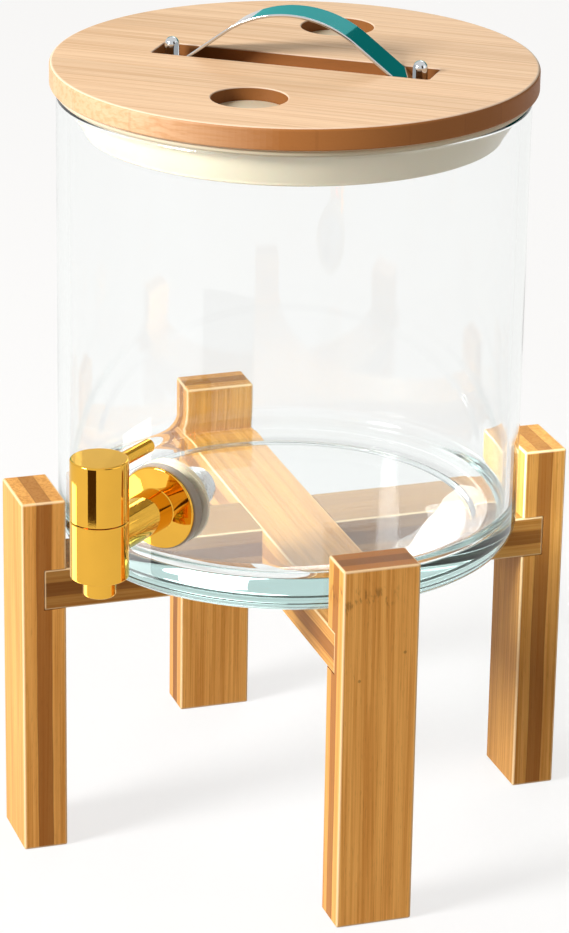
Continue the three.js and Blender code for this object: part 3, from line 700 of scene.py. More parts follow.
def thread_ridge(core, depth, pitch, run, steps, maker):
    """The ridge of a screw thread, which runs up the Z axis from the origin."""
    return grown(thread_tree(), {
        "Core": core,
        "Depth": depth,
        "Pitch": pitch,
        "Length": run,
        "Steps": steps,
        "Material": finish(maker),
    })


# Materials

NOISE_SPAN = (0.3, 0.7)  # where nearly all of a noise texture's values lie
FIBRE_LEAN = (0.62, 0.38, 1)  # how far the fibres' noise leans for each step across them

# Sizes of bamboo's features through the plies, across the strips and along the fibres
FIBRE = (0.5 * MM, 0.5 * MM, 40 * MM)
STREAK = (1.5 * MM, 1.5 * MM, 90 * MM)
BAND = (6 * MM, 6 * MM, 160 * MM)
DASH = (0.5 * MM, 0.5 * MM, 4.5 * MM)
PLY_WANDER = (1000 * MM, 1000 * MM, 45 * MM)
KNUCKLE_WAVER = (5 * MM, 5 * MM, 60 * MM)
KNUCKLE_STROKE = (1.6 * MM, 1.6 * MM, 3.4 * MM)
FIBRE_RELIEF = 0.12 * MM

# What of each noise shows, and how much each adds to how light the wood is
BAND_SPAN = (0.35, 0.65)
DASH_SPAN = (0.6, 0.72)
STROKE_SPAN = (0.46, 0.66)
ROUGH_SPAN = (0.25, 0.75)
FINE_SHARE = 0.3
BROAD_SHARE = 0.2
CLEAR_SHARE = 0.5
CORE_FADE = -0.25  # how much less a middle ply's core colour shows on a cut end
LIGHT_TONE = 1.08  # the tone of the lightest board, the front leg, whose cut ends are painted their darkest, as shade on its top

# The culm's knuckle, whose strokes lie in a row and whose row is clearest over its middle share
KNUCKLE = {
    "spacing": 600 * MM,
    "edge": 3 * MM,
    "row_offset": 5 * MM,
    "row_height": 4 * MM,
    "row_middle_share": 0.3,
    "pin_radius": 0.8 * MM,
}


def cell_number(tree, value, width):
    """The number of the cell that a coordinate falls in, with cells of that width centred on zero."""
    scaled = add(tree, MATH, (value, width), operation="DIVIDE")
    return add(tree, MATH, (scaled,), operation="ROUND")


def fibre_noise(tree, place, size, detail):
    """Noise drawn out along the fibres, with features of the given size in metres on each axis. It leans, so
    that no two streaks side by side begin or end at one height."""
    scale = [1 / entry for entry in size]
    stretched = add(tree, VECTOR_MATH, (place, scale), operation="MULTIPLY")
    lean = add(tree, VECTOR_MATH, (stretched, FIBRE_LEAN), operation="DOT_PRODUCT")
    sides = add(tree, "ShaderNodeSeparateXYZ", (stretched,))
    leaning = add(tree, "ShaderNodeCombineXYZ", (*sides.outputs[:2], lean.outputs["Value"]))
    return add(tree, "ShaderNodeTexNoise", {"Vector": leaning, "Scale": 1.0, "Detail": detail})


def knuckle_marks(tree, own, across, along, pin_knots):
    """How dark the culm's knuckle marks a place: short soft strokes in a wavering band, and pin knots."""
    half = KNUCKLE["spacing"] / 2
    row = KNUCKLE["row_height"]
    edge = KNUCKLE["edge"]
    pin = KNUCKLE["pin_radius"]
    from_knuckle = add(tree, MATH, (along, -half, half), operation="WRAP")
    uneven = fibre_noise(tree, own, KNUCKLE_WAVER, detail=1.0)
    waver = add(tree, RANGE, (uneven, *NOISE_SPAN, 0.0, KNUCKLE["row_offset"]), **SMOOTH)
    wavering = add(tree, MATH, (from_knuckle, waver), operation="ADD")
    off_band = add(tree, MATH, (wavering,), operation="ABSOLUTE")
    band = add(tree, RANGE, (off_band, KNUCKLE["row_middle_share"] * row, row, 1.0, 0.0), **SMOOTH)
    patch = add(tree, RANGE, (across, edge, 3 * edge, 1.0, 0.0), **SMOOTH)
    strokes = fibre_noise(tree, own, KNUCKLE_STROKE, detail=2.0)
    stroke = add(tree, RANGE, (strokes, *STROKE_SPAN, 0.0, 1.0), **SMOOTH)
    banded = add(tree, MATH, (band, patch), operation="MULTIPLY")
    mark = add(tree, MATH, (banded, stroke), operation="MULTIPLY")
    spot = add(tree, "ShaderNodeCombineXYZ", (across, from_knuckle))
    for place in pin_knots:
        away = add(tree, VECTOR_MATH, (spot, (*place, 0)), operation="DISTANCE")
        knot = add(tree, RANGE, (away.outputs["Value"], pin / 2, pin, 1.0, 0.0), **SMOOTH)
        mark = add(tree, MATH, (mark, knot), operation="MAXIMUM")
    return mark


def lightness(tree, own, fibres, sizes):
    """How light the wood is at a place: its fine fibres, broad bands and clear streaks together."""
    streaks = fibre_noise(tree, own, STREAK, detail=1.0)
    bands = fibre_noise(tree, own, BAND, detail=1.0)
    fine = add(tree, RANGE, (fibres, *NOISE_SPAN, 0.0, FINE_SHARE), **SMOOTH)
    broad = add(tree, RANGE, (bands, *BAND_SPAN, 0.0, BROAD_SHARE), **SMOOTH)
    least_clear = CLEAR_SHARE - sizes["streak_share"]
    clear = add(tree, RANGE, (streaks, *sizes["streak_span"], least_clear, CLEAR_SHARE), **SMOOTH)
    both = add(tree, MATH, (fine, broad), operation="ADD")
    return add(tree, MATH, (both, clear), operation="ADD")


def glue_lines(tree, cells, sizes):
    """How much a glue line shows at a place, between cells given as (coordinate, width) pairs."""
    lines = []
    for coordinate, width in cells:
        counted = add(tree, MATH, (coordinate, width), operation="DIVIDE")
        beside = add(tree, MATH, (counted, 0.5), operation="ADD")
        from_line = add(tree, MATH, (beside, -0.5, 0.5), operation="WRAP")
        away = add(tree, MATH, (from_line,), operation="ABSOLUTE")
        line_share = sizes["glue_width"] / width
        line_range = (away, line_share / 2, line_share, sizes["glue_mark"], 0.0)
        lines.append(add(tree, RANGE, line_range, **SMOOTH))
    return add(tree, MATH, lines, operation="MAXIMUM")


def bamboo(name, tints, sizes, coat, gleam):
    """Bamboo boards glued up from plies and strips: straight fibres with darker streaks, bundles seen as fine
    dashes, and the marks of a knuckle where the culm had its wall. The fibres are drawn 0.5 mm wide, about
    twice their real width, because finer ones wouldn't show."""
    made, tree = material(name)
    place = add(tree, "ShaderNodeAttribute", attribute_name="grain").outputs["Vector"]
    through, sideways, along = add(tree, "ShaderNodeSeparateXYZ", (place,)).outputs
    marks = add(tree, "ShaderNodeAttribute", attribute_name="marks").outputs["Vector"]
    ends, corner, ply_edge = add(tree, "ShaderNodeSeparateXYZ", (marks,)).outputs
    board_tone = add(tree, "ShaderNodeAttribute", attribute_name="board_tone").outputs["Fac"]

    # Glue lines wander a little along the board, but the outer plies always reach its faces.
    wander = fibre_noise(tree, place, PLY_WANDER, detail=1.0)
    off_line = add(tree, RANGE, (wander, *NOISE_SPAN, -sizes["wander"], sizes["wander"]), **SMOOTH)
    wandering = add(tree, MATH, (through, off_line), operation="ADD")
    below = add(tree, MATH, (wandering, sizes["deepest"]), operation="MINIMUM")
    depth = add(tree, MATH, (below, -sizes["deepest"]), operation="MAXIMUM")
    ply = cell_number(tree, depth, sizes["ply"])
    strip = cell_number(tree, sideways, sizes["strip"])
    cell = add(tree, "ShaderNodeCombineXYZ", (ply, strip, sizes["seed"]))
    chance = add(tree, "ShaderNodeTexWhiteNoise", {"Vector": cell}, noise_dimensions="3D")
    own = add(tree, VECTOR_MATH, (chance.outputs["Color"], place), operation="ADD")
    fibres = fibre_noise(tree, own, FIBRE, detail=2.0)
    dashes = fibre_noise(tree, own, DASH, detail=1.0)
    light = lightness(tree, own, fibres, sizes)

    # Plies' edges are richer in colour, middle plies are the darkest, and cut ends are darker. The front
    # leg's ends are painted darker still, as shade on its top, and the lid's end colour carries the painted
    # light and shade of its edge and pockets.
    flank = add(tree, MATH, (ply_edge, sizes["flank_share"]), operation="MULTIPLY")
    middle_ply = add(tree, MATH, (ply, 0.0, 0.5), operation="COMPARE")
    paler_end = add(tree, MATH, (ends, CORE_FADE, 1.0), operation="MULTIPLY_ADD")
    core = add(tree, MATH, (middle_ply, paler_end), operation="MULTIPLY")
    core_shown = add(tree, MATH, (core, sizes["core_share"]), operation="MULTIPLY")
    # The front leg's cut ends are much darker than the other legs': painted shade on its top, with its middle
    # ply darker too.
    tone_end_shade = add(tree, RANGE, (board_tone, 1.0, LIGHT_TONE, *sizes["end_shares"]), **SMOOTH)
    cut = add(tree, MATH, (ends, 1.0), operation="MINIMUM")
    end_and_shade = add(tree, MATH, (cut, tone_end_shade), operation="MULTIPLY")
    wood = (*tints["dark"], 1)
    for share, tint in ((light, "light"), (flank, "flank"), (core_shown, "core"), (end_and_shade, "end")):
        mix = {0: share, 6: wood, 7: (*tints[tint], 1)}
        wood = add(tree, "ShaderNodeMix", mix, data_type="RGBA").outputs[2]
    heart = add(tree, MATH, (middle_ply, end_and_shade), operation="MULTIPLY")
    heart_tone = add(tree, MATH, (heart, sizes["heart_shade"], 1.0), operation="MULTIPLY_ADD")

    tone = add(tree, RANGE, (chance.outputs["Value"], 0.0, 1.0, *sizes["tones"]), **SMOOTH)
    dash = add(tree, RANGE, (dashes, *DASH_SPAN, 1.0, sizes["dash_tone"]), **SMOOTH)
    # Pocket walls are darker still: painted shade in the slot and wells.
    pocket = add(tree, RANGE, (ends, 1.0, POCKET_WALL_SHADE, 1.0, sizes["pocket_shade_tone"]), **SMOOTH)
    half_strip = sizes["strip"] / 2
    across = add(tree, MATH, (sideways, -half_strip, half_strip), operation="WRAP")
    knuckle_mark = knuckle_marks(tree, own, across, along, sizes["pin_knots"])
    knuckle = add(tree, MATH, (knuckle_mark, sizes["knuckle_shade"], 1.0), operation="MULTIPLY_ADD")
    # A board's tone also carries painted shade, on the right leg and the side-to-side bar.
    shade = board_tone
    for factor in (tone, dash, pocket, heart_tone, knuckle):
        shade = add(tree, MATH, (shade, factor), operation="MULTIPLY")
    finished = add(tree, VECTOR_MATH, {0: wood, "Scale": shade}, operation="SCALE")
    glue = glue_lines(tree, ((depth, sizes["ply"]), (sideways, sizes["strip"])), sizes)
    # Corners are painted paler: sanded edges with a painted highlight.
    sanded = add(tree, MATH, (corner, sizes["arris_highlight_share"]), operation="MULTIPLY")
    for share, tint in ((glue, "glue"), (sanded, "arris")):
        mix = {0: share, 6: finished, 7: (*tints[tint], 1)}
        finished = add(tree, "ShaderNodeMix", mix, data_type="RGBA").outputs[2]

    rough = add(tree, RANGE, (fibres, *ROUGH_SPAN, *sizes["rough"]), **SMOOTH)
    relief = add(tree, MATH, (fibres, dash), operation="ADD")
    bump = add(tree, "ShaderNodeBump", {"Height": relief, "Strength": 0.25, "Distance": FIBRE_RELIEF})
    shader = add(tree, "ShaderNodeBsdfPrincipled", {
        "Base Color": finished,
        "Roughness": rough.outputs[0],
        "Normal": bump,
        "IOR": 1.5,
        "Specular IOR Level": gleam,
        "Coat Weight": coat,
        "Coat Roughness": 0.22,
    })
    add(tree, "ShaderNodeOutputMaterial", {"Surface": shader})
    return made


def stand_bamboo():
    # Carbonised bamboo under a satin lacquer: honey brown, with the middle ply of each board much darker.
    # One strip is wider than a leg, so a leg shows no glue line between strips.
    strip_share = 1.4
    outer_share = 0.45
    finish_tints = values("finish")
    sizes = values("stand")
    return bamboo("lacquered_laminated_bamboo", {
        "light": finish_tints.stand_light,
        "dark": finish_tints.stand_dark,
        "end": finish_tints.stand_end,
        "flank": finish_tints.stand_flank,
        "core": finish_tints.stand_core,
        "arris": finish_tints.stand_arris_highlight,
        "glue": finish_tints.glue,
    }, {
        "ply": sizes.leg_thickness / sizes.ply_count,
        "deepest": outer_share * sizes.leg_thickness,
        "strip": strip_share * sizes.leg_width,
        "wander": 0.25 * MM,
        "seed": 0.0,
        "streak_span": (0.4, 0.56),
        "streak_share": 0.32,
        "tones": (0.92, 1.06),
        "flank_share": 0.1,
        "core_share": 0.72,
        "heart_shade": -0.4,
        "end_shares": (0.15, 0.95),
        "pocket_shade_tone": 1.0,
        "arris_highlight_share": 0.7,
        "dash_tone": 0.88,
        "knuckle_shade": -0.4,
        "pin_knots": ((9.6 * MM, -24.7 * MM), (-8.1 * MM, -34.4 * MM)),
        "glue_width": 0.35 * MM,
        "glue_mark": 0.35,
        "rough": (0.36, 0.52),
    }, coat=0.04, gleam=0.08)


def lid_bamboo():
    # Natural bamboo under oil: pale tan strips side by side, with cut ends and edges that drank the oil. The
    # edge is painted pale on the lit left and darker round the shaded front and right, and the slot and wells
    # are painted in shade.
    # The board is one ply, so a ply is given as much thicker than it.
    finish_tints = values("finish")
    return bamboo("oiled_natural_bamboo", {
        "light": finish_tints.lid_light,
        "dark": finish_tints.lid_dark,
        "end": finish_tints.lid_edge_and_shade,
        "flank": finish_tints.lid_light,
        "core": finish_tints.lid_dark,
        "arris": finish_tints.lid_arris_highlight,
        "glue": finish_tints.glue,
    }, {
        "ply": 4 * span("lid_board").z,
        "deepest": span("lid_board").z,
        "strip": values("lid").strip_width,
        "wander": 0.0,
        "seed": 3.0,
        "streak_span": (0.34, 0.56),
        "streak_share": 0.5,
        "tones": (0.95, 1.03),
        "flank_share": 0.0,
        "core_share": 0.0,
        "heart_shade": 0.0,
        "end_shares": (1.0, 1.0),
        # painted shade in the slot and wells
        "pocket_shade_tone": 0.66,
        "arris_highlight_share": 0.55,
        "dash_tone": 0.94,
        "knuckle_shade": 0.0,
        "pin_knots": (),
        "glue_width": 0.3 * MM,
        "glue_mark": 0.15,
        "rough": (0.45, 0.6),
    }, coat=0.04, gleam=0.2)


def glass():
    # Blown soda-lime glass: clear and smooth, with a faint green-blue tint where the light crosses it long.
    made, tree = material("clear_soda_lime_glass")
    wave_length = 45 * MM
    wave_height = 0.6 * MM
    coordinates = add(tree, "ShaderNodeTexCoord")
    waves = add(tree, "ShaderNodeTexNoise", {
        "Vector": coordinates.outputs["Object"],
        "Scale": 1 / wave_length,
        "Detail": 1.0,
    })
    bump = add(tree, "ShaderNodeBump", {"Height": waves, "Strength": 0.12, "Distance": wave_height})
    shader = add(tree, "ShaderNodeBsdfPrincipled", {
        "Base Color": (1, 1, 1, 1),
        "Roughness": 0.0,
        "IOR": 1.52,
        "Transmission Weight": 1.0,
        "Normal": bump,
    })
    # Lamp light passes the wall as if it were clear, because refracted lamp light would be lost as noise.
    clear = add(tree, "ShaderNodeBsdfTransparent", {"Color": (0.93, 0.95, 0.945, 1)})
    path = add(tree, "ShaderNodeLightPath")
    surface = add(tree, "ShaderNodeMixShader", {0: path.outputs["Is Shadow Ray"], 1: shader, 2: clear})
    tint = add(tree, "ShaderNodeVolumeAbsorption", {
        "Color": (*values("finish").glass_edge, 1),
        "Density": 8.0,
    })
    add(tree, "ShaderNodeOutputMaterial", {"Surface": surface, "Volume": tint})
    return made


def metal(name, tint, rough, grain, relief=0.01 * MM, stretch=(1, 1, 1), graze=(1, 1, 1)):
    """A metal surface whose roughness, in a range, and relief follow fine polishing or turning marks."""
    made, tree = material(name)
    cloud_size = 14 * MM
    least_tone = 0.96
    coordinates = add(tree, "ShaderNodeTexCoord")
    spread = add(tree, "ShaderNodeMapping", {"Vector": coordinates.outputs["Object"], "Scale": stretch})
    marks = add(tree, "ShaderNodeTexNoise", {"Vector": spread, "Scale": 1 / grain, "Detail": 3.0})
    cloud = add(tree, "ShaderNodeTexNoise", {
        "Vector": coordinates.outputs["Object"],
        "Scale": 1 / cloud_size,
        "Detail": 2.0,
    })
    tone = add(tree, RANGE, (cloud, *NOISE_SPAN, least_tone, 1.0), **SMOOTH)
    body = add(tree, VECTOR_MATH, {0: tint, "Scale": tone.outputs[0]}, operation="SCALE")
    worn = add(tree, RANGE, (marks, *ROUGH_SPAN, *rough), **SMOOTH)
    bump = add(tree, "ShaderNodeBump", {"Height": marks, "Strength": 0.15, "Distance": relief})
    shader = add(tree, "ShaderNodeBsdfPrincipled", {
        "Base Color": body,
        "Metallic": 1.0,
        "Specular Tint": (*graze, 1),
        "Roughness": worn.outputs[0],
        "Normal": bump,
    })
    add(tree, "ShaderNodeOutputMaterial", {"Surface": shader})
    return made


def gold_plate():
    # Bright gold plate on polished brass: a mirror with barely visible buffing marks.
    tints = values("finish")
    graze = tints.gold_graze
    return metal("polished_gold_plate", tints.gold, rough=(0.03, 0.06), grain=0.5 * MM, graze=graze)


def turned_brass():
    # Brass off the lathe: fine turning rings round the plug's axis, dulled a little.
    tint = values("finish").brass
    rings = (0.15, 0.15, 1)
    return metal("turned_brass", tint, rough=(0.22, 0.36), grain=0.4 * MM, relief=0.03 * MM, stretch=rings)


def mirror_steel():
    # Stainless strip and cap nuts, buffed to a mirror.
    return metal("buffed_stainless_steel", values("finish").steel, rough=(0.03, 0.06), grain=0.6 * MM)


def plain_steel():
    # Stainless washers, nut and screws as stamped or turned, with a satin grain.
    tint = values("finish").steel
    drawn = (1, 1, 0.3)
    satin = (0.2, 0.32)
    return metal("satin_stainless_steel", tint, satin, grain=0.35 * MM, relief=0.02 * MM, stretch=drawn)


def silicone(name, tint, through, roughness):
    """Moulded silicone rubber: satin, a little translucent, with the mould's faint texture."""
    made, tree = material(name)
    skin_size = 0.7 * MM
    skin_relief = 0.04 * MM
    cloud_size = 22 * MM
    light_reach = 4 * MM
    least_tone = 0.965
    uneven = 0.05
    coordinates = add(tree, "ShaderNodeTexCoord")
    skin = add(tree, "ShaderNodeTexNoise", {
        "Vector": coordinates.outputs["Object"],
        "Scale": 1 / skin_size,
        "Detail": 2.0,
    })
    cloud = add(tree, "ShaderNodeTexNoise", {
        "Vector": coordinates.outputs["Object"],
        "Scale": 1 / cloud_size,
        "Detail": 2.0,
    })
    tone = add(tree, RANGE, (cloud, *NOISE_SPAN, least_tone, 1.0), **SMOOTH)
    body = add(tree, VECTOR_MATH, {0: tint, "Scale": tone.outputs[0]}, operation="SCALE")
    rough = add(tree, RANGE, (skin, *NOISE_SPAN, roughness - uneven, roughness + uneven), **SMOOTH)
    bump = add(tree, "ShaderNodeBump", {"Height": skin, "Strength": 0.2, "Distance": skin_relief})
    shader = add(tree, "ShaderNodeBsdfPrincipled", {
        "Base Color": body,
        "Roughness": rough.outputs[0],
        "IOR": 1.41,
        "Subsurface Weight": through,
        "Subsurface Scale": light_reach,
        "Normal": bump,
    })
    add(tree, "ShaderNodeOutputMaterial", {"Surface": shader})
    return made


def cream_silicone():
    return silicone("cream_moulded_silicone", values("finish").cream, through=0.12, roughness=0.42)


def grey_silicone():
    return silicone("grey_moulded_silicone", values("finish").grey, through=0.15, roughness=0.36)


def nitrile():
    return silicone("black_nitrile_rubber", values("finish").rubber, through=0.0, roughness=0.55)


def finish(maker):
    """The material that a maker builds, built once."""
    kept = bpy.context.scene.get("dispenser_finishes", {})
    name = kept.get(maker.__name__)
    if name is None:
        name = maker().name
        bpy.context.scene["dispenser_finishes"] = {**dict(kept), maker.__name__: name}
    return bpy.data.materials[name]


# Stand

def leg_mesh():
    """The right leg, with the housing for its bar."""
    s = values("stand")
    centre = middle("leg_right")
    bar = middle("cross_bar_side_to_side")
    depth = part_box("cross_bar_side_to_side")[1].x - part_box("leg_right")[0].x + s.joint_gap
    blank = moved(board((s.leg_thickness, s.leg_width, s.leg_height), s.leg_edge), shift(*centre))
    housing = board((2 * depth, 2 * s.leg_width, s.bar_height + 2 * s.joint_gap), 0)
    return carved(blank, ("DIFFERENCE", moved(housing, shift(centre.x - s.leg_thickness / 2, 0, bar.z))))


def bar_mesh(node, opens_up):
    """A bar along X with its halving, centred on the frame's bar."""
    s = values("stand")
    size = span(node)
    length_x = max(size.x, size.y)
    blank = board((length_x, s.leg_width, s.bar_height), s.bar_edge)
    side = 1 if opens_up else -1
    cutter = board((s.leg_width + 2 * s.joint_gap, 2 * s.leg_width, s.bar_height + s.joint_gap), 0)
    return carved(blank, ("DIFFERENCE", moved(cutter, shift(0, 0, side * s.bar_height / 2))))


class DISPENSER_OT_legs(Operator):
    """Makes the four legs"""
    bl_idname = "dispenser.legs"
    bl_label = "Legs"

    def execute(self, context):
        s = values("stand")
        centre = middle("leg_right")
        leg = lay_grain(leg_mesh(), shift(-centre.x, 0, 0))
        leg_object = helper(leg)
        mesh = grown(leg_tree(), {
            "Leg": leg_object,
            "Count": s.leg_count,
            "First Knuckle": s.knuckle_height - (s.leg_count - 1) * s.knuckle_step,
            "Knuckle Step": s.knuckle_step,
            "Strip Step": 2 * GRAIN_STEP * s.leg_width,
            "First Tone": s.first_tone,
            "Tone Step": s.tone_step,
            "Material": finish(stand_bamboo),
        })
        bpy.data.objects.remove(leg_object)
        legs = ["leg_right", "leg_back", "leg_left", "leg_front"]
        show("stand_legs", mesh, finish(stand_bamboo), "stand", legs)
        return {"FINISHED"}


class DISPENSER_OT_bars(Operator):
    """Makes the two crossed bars"""
    bl_idname = "dispenser.bars"
    bl_label = "Crossed bars"

    def execute(self, context):
        s = values("stand")
        # A bar's plies lie on each other, its fibres run along it, and its ply height is drawn as a leg's.
        ply_scale = s.leg_thickness / s.bar_height
        step = GRAIN_STEP * s.leg_width
        # The side-to-side bar is painted darker, as the shade under the jar.
        for node, turn, opens_up, sideways, tone in (
            ("cross_bar_side_to_side", 0, True, step, s.bar_shade_tone),
            ("cross_bar_front_to_back", math.pi / 2, False, 3 * step, 1.0),
        ):
            to_board = Matrix((
                (0, 0, ply_scale, 0),
                (0, 1, 0, sideways),
                (1, 0, 0, step),
                (0, 0, 0, 1),
            ))
            mesh = lay_grain(bar_mesh(node, opens_up), to_board, tone)
            moved(mesh, Matrix.Rotation(turn, 4, "Z"), shift(0, 0, middle(node).z))
            name = node.replace("cross_bar", "halved_bar")
            show(name, mesh, finish(stand_bamboo), "stand", [node])
        return {"FINISHED"}


# Jar

class DISPENSER_OT_jar(Operator):
    """Makes the glass jar"""
    bl_idname = "dispenser.jar"
    bl_label = "Glass jar"

    def execute(self, context):
        s = values("jar")
        inner = s.radius - s.wall
        rim = s.wall / 2
        jar_steps = 192
        rings_each_way = 4
        punt_steps = 10
        punt = []
        for i in range(punt_steps + 1):
            t = i / punt_steps
            punt.append((s.punt_radius + s.punt_slope * t, s.punt_depth * (1 + math.cos(math.pi * t)) / 2))
        tap_height = TAP_POINT.z - JAR_UNDERSIDE
        # Rings close together round the tap hole keep the cut's uneven faces under the washers.
        band = [tap_height + s.ring_step * i for i in range(-rings_each_way, rings_each_way + 1)]
        profile = [(0, s.punt_depth), *punt]
        profile += arc((s.radius - s.foot_round, s.foot_round), s.foot_round, -90, 0, 20)
        profile += [(s.radius, height) for height in band]
        profile += arc((s.radius - rim, s.height - rim), rim, 0, 180, 20)
        profile += [(inner, height) for height in reversed(band)]
        profile += arc((inner - s.floor_round, s.base + s.floor_round), s.floor_round, 0, -90, 16)
        profile.append((0, s.base))
        hole = moved(
            rod(s.tap_hole, 0, 3 * s.wall, SMALL_STEPS),
            ALONG_X,
            shift(inner - s.wall, 0, tap_height),
            Matrix.Rotation(TAP_TURN, 4, "Z"),
        )
        mesh = carved(turned(profile, jar_steps), ("DIFFERENCE", hole))
        moved(mesh, shift(0, 0, JAR_UNDERSIDE))
        show("jar_glass", mesh, finish(glass), "jar", ["glass_jar"], 50)
        return {"FINISHED"}


# Tap, in its own frame: the spout's axis is Z, the shank's axis is X, and the jar is towards -X

def jar_wall(radius):
    """The jar's round wall as the tap sees it."""
    reach = 2 * values("tap").washer_radius
    wall_steps = 360
    return moved(rod(radius, -reach, reach, wall_steps), shift(-TAP_DISTANCE, 0, 0))


def ring_sector(inner, outer, start, end, bottom, top, steps=12):
    """A ring sector in plan, between two angles in radians."""
    turns = [start + (end - start) * i / steps for i in range(steps + 1)]
    plan = [(outer * math.cos(t), outer * math.sin(t)) for t in turns]
    plan += [(inner * math.cos(t), inner * math.sin(t)) for t in reversed(turns)]
    return lofted([[(x, y, bottom) for x, y in plan], [(x, y, top) for x, y in plan]])


def thread_end():
    jar = values("jar")
    return TAP_DISTANCE - (jar.radius - jar.wall) + values("tap").thread_reach


def tap_casting():
    s = values("tap")
    valve = values("valve")
    handle = values("tap_handle")
    overrun = s.washer_radius
    spout = -s.body_drop - s.nozzle_length
    upright = [(0, spout)]
    upright += arc((s.nozzle_radius - s.nozzle_edge, spout + s.nozzle_edge), s.nozzle_edge, -90, 0)
    upright.append((s.nozzle_radius, -s.body_drop))
    upright += arc((s.body_radius - s.body_edge, -s.body_drop + s.body_edge), s.body_edge, -90, 0)
    upright += [(s.body_radius, s.body_rise - s.edge), (s.body_radius - s.edge, s.body_rise)]
    upright += [(s.neck_radius, s.body_rise), (s.neck_radius, s.neck_top), (0, s.neck_top)]
    end = -thread_end()
    shank = [(0, -s.spout_reach), (s.flange_radius - s.edge, -s.spout_reach)]
    shank += [(s.flange_radius, -s.spout_reach + s.edge)]
    half_rim = s.flange_rim / 2
    shank += arc((s.flange_radius - half_rim, -s.spout_reach + half_rim), half_rim, 0, 80)
    shank += [(s.shank_radius + s.edge, -s.spout_reach + s.flange_hub - s.edge)]
    shank += [(s.shank_radius, -s.spout_reach + s.flange_hub), (s.shank_radius, 0), (0, 0)]
    bore = valve.plug_radius + valve.plug_play
    gland_seat = s.neck_top - valve.gland_thickness - valve.plug_play
    gland_bore = valve.gland_radius + 2 * valve.plug_play
    inside = [(0, spout - overrun), (s.waterway + s.edge + overrun, spout - overrun)]
    inside += [(s.waterway + s.edge, spout), (s.waterway, spout + s.edge), (s.waterway, -valve.plug_drop)]
    inside += [(bore, -valve.plug_drop), (bore, gland_seat), (gland_bore, gland_seat)]
    inside += [(gland_bore, s.neck_top + overrun), (0, s.neck_top + overrun)]
    notch = ring_sector(
        s.neck_radius - handle.tooth_reach - 2 * valve.plug_play,
        s.neck_radius + s.edge,
        -handle.tooth_turn - handle.tooth_play,
        math.pi / 2 + handle.tooth_turn + handle.tooth_play,
        s.neck_top - handle.tooth_height - s.edge,
        s.neck_top + s.edge,
    )
    return carved(
        turned(upright),
        ("UNION", moved(turned(shank), ALONG_X)),
        ("DIFFERENCE", turned(inside)),
        ("DIFFERENCE", moved(rod(s.waterway, end - overrun, 0, SMALL_STEPS), ALONG_X)),
        ("DIFFERENCE", notch),
    )


def joined(*meshes):
    """One mesh that holds several closed shells."""
    work = bmesh.new()
    for mesh in meshes:
        work.from_mesh(mesh)
    return to_mesh(work)


class DISPENSER_OT_tap_body(Operator):
    """Makes the tap's gold casting and its bare threaded end"""
    bl_idname = "dispenser.tap_body"
    bl_label = "Tap body"

    def execute(self, context):
        s = values("tap")
        run = thread_end() - s.spout_reach - 2 * s.thread_pitch
        core = s.thread_radius - s.thread_depth
        end = -thread_end()
        turn_steps = 48
        ridge = thread_ridge(core, s.thread_depth, s.thread_pitch, run, turn_steps, plain_steel)
        moved(ridge, shift(0, 0, end + s.thread_pitch))
        pipe = turned([
            (s.waterway, end),
            (core - s.thread_chamfer / 2, end),
            (core, end + s.thread_chamfer / 2),
            (core, -s.spout_reach),
            (s.waterway, -s.spout_reach),
        ])
        thread = moved(joined(pipe, ridge), ALONG_X, TAP_PLACE)
        show("bare_threaded_end", thread, finish(plain_steel), "jar", ["tap_body"])
        casting = moved(tap_casting(), TAP_PLACE)
        show("tap_casting", casting, finish(gold_plate), "jar", ["tap_body"])
        return {"FINISHED"}


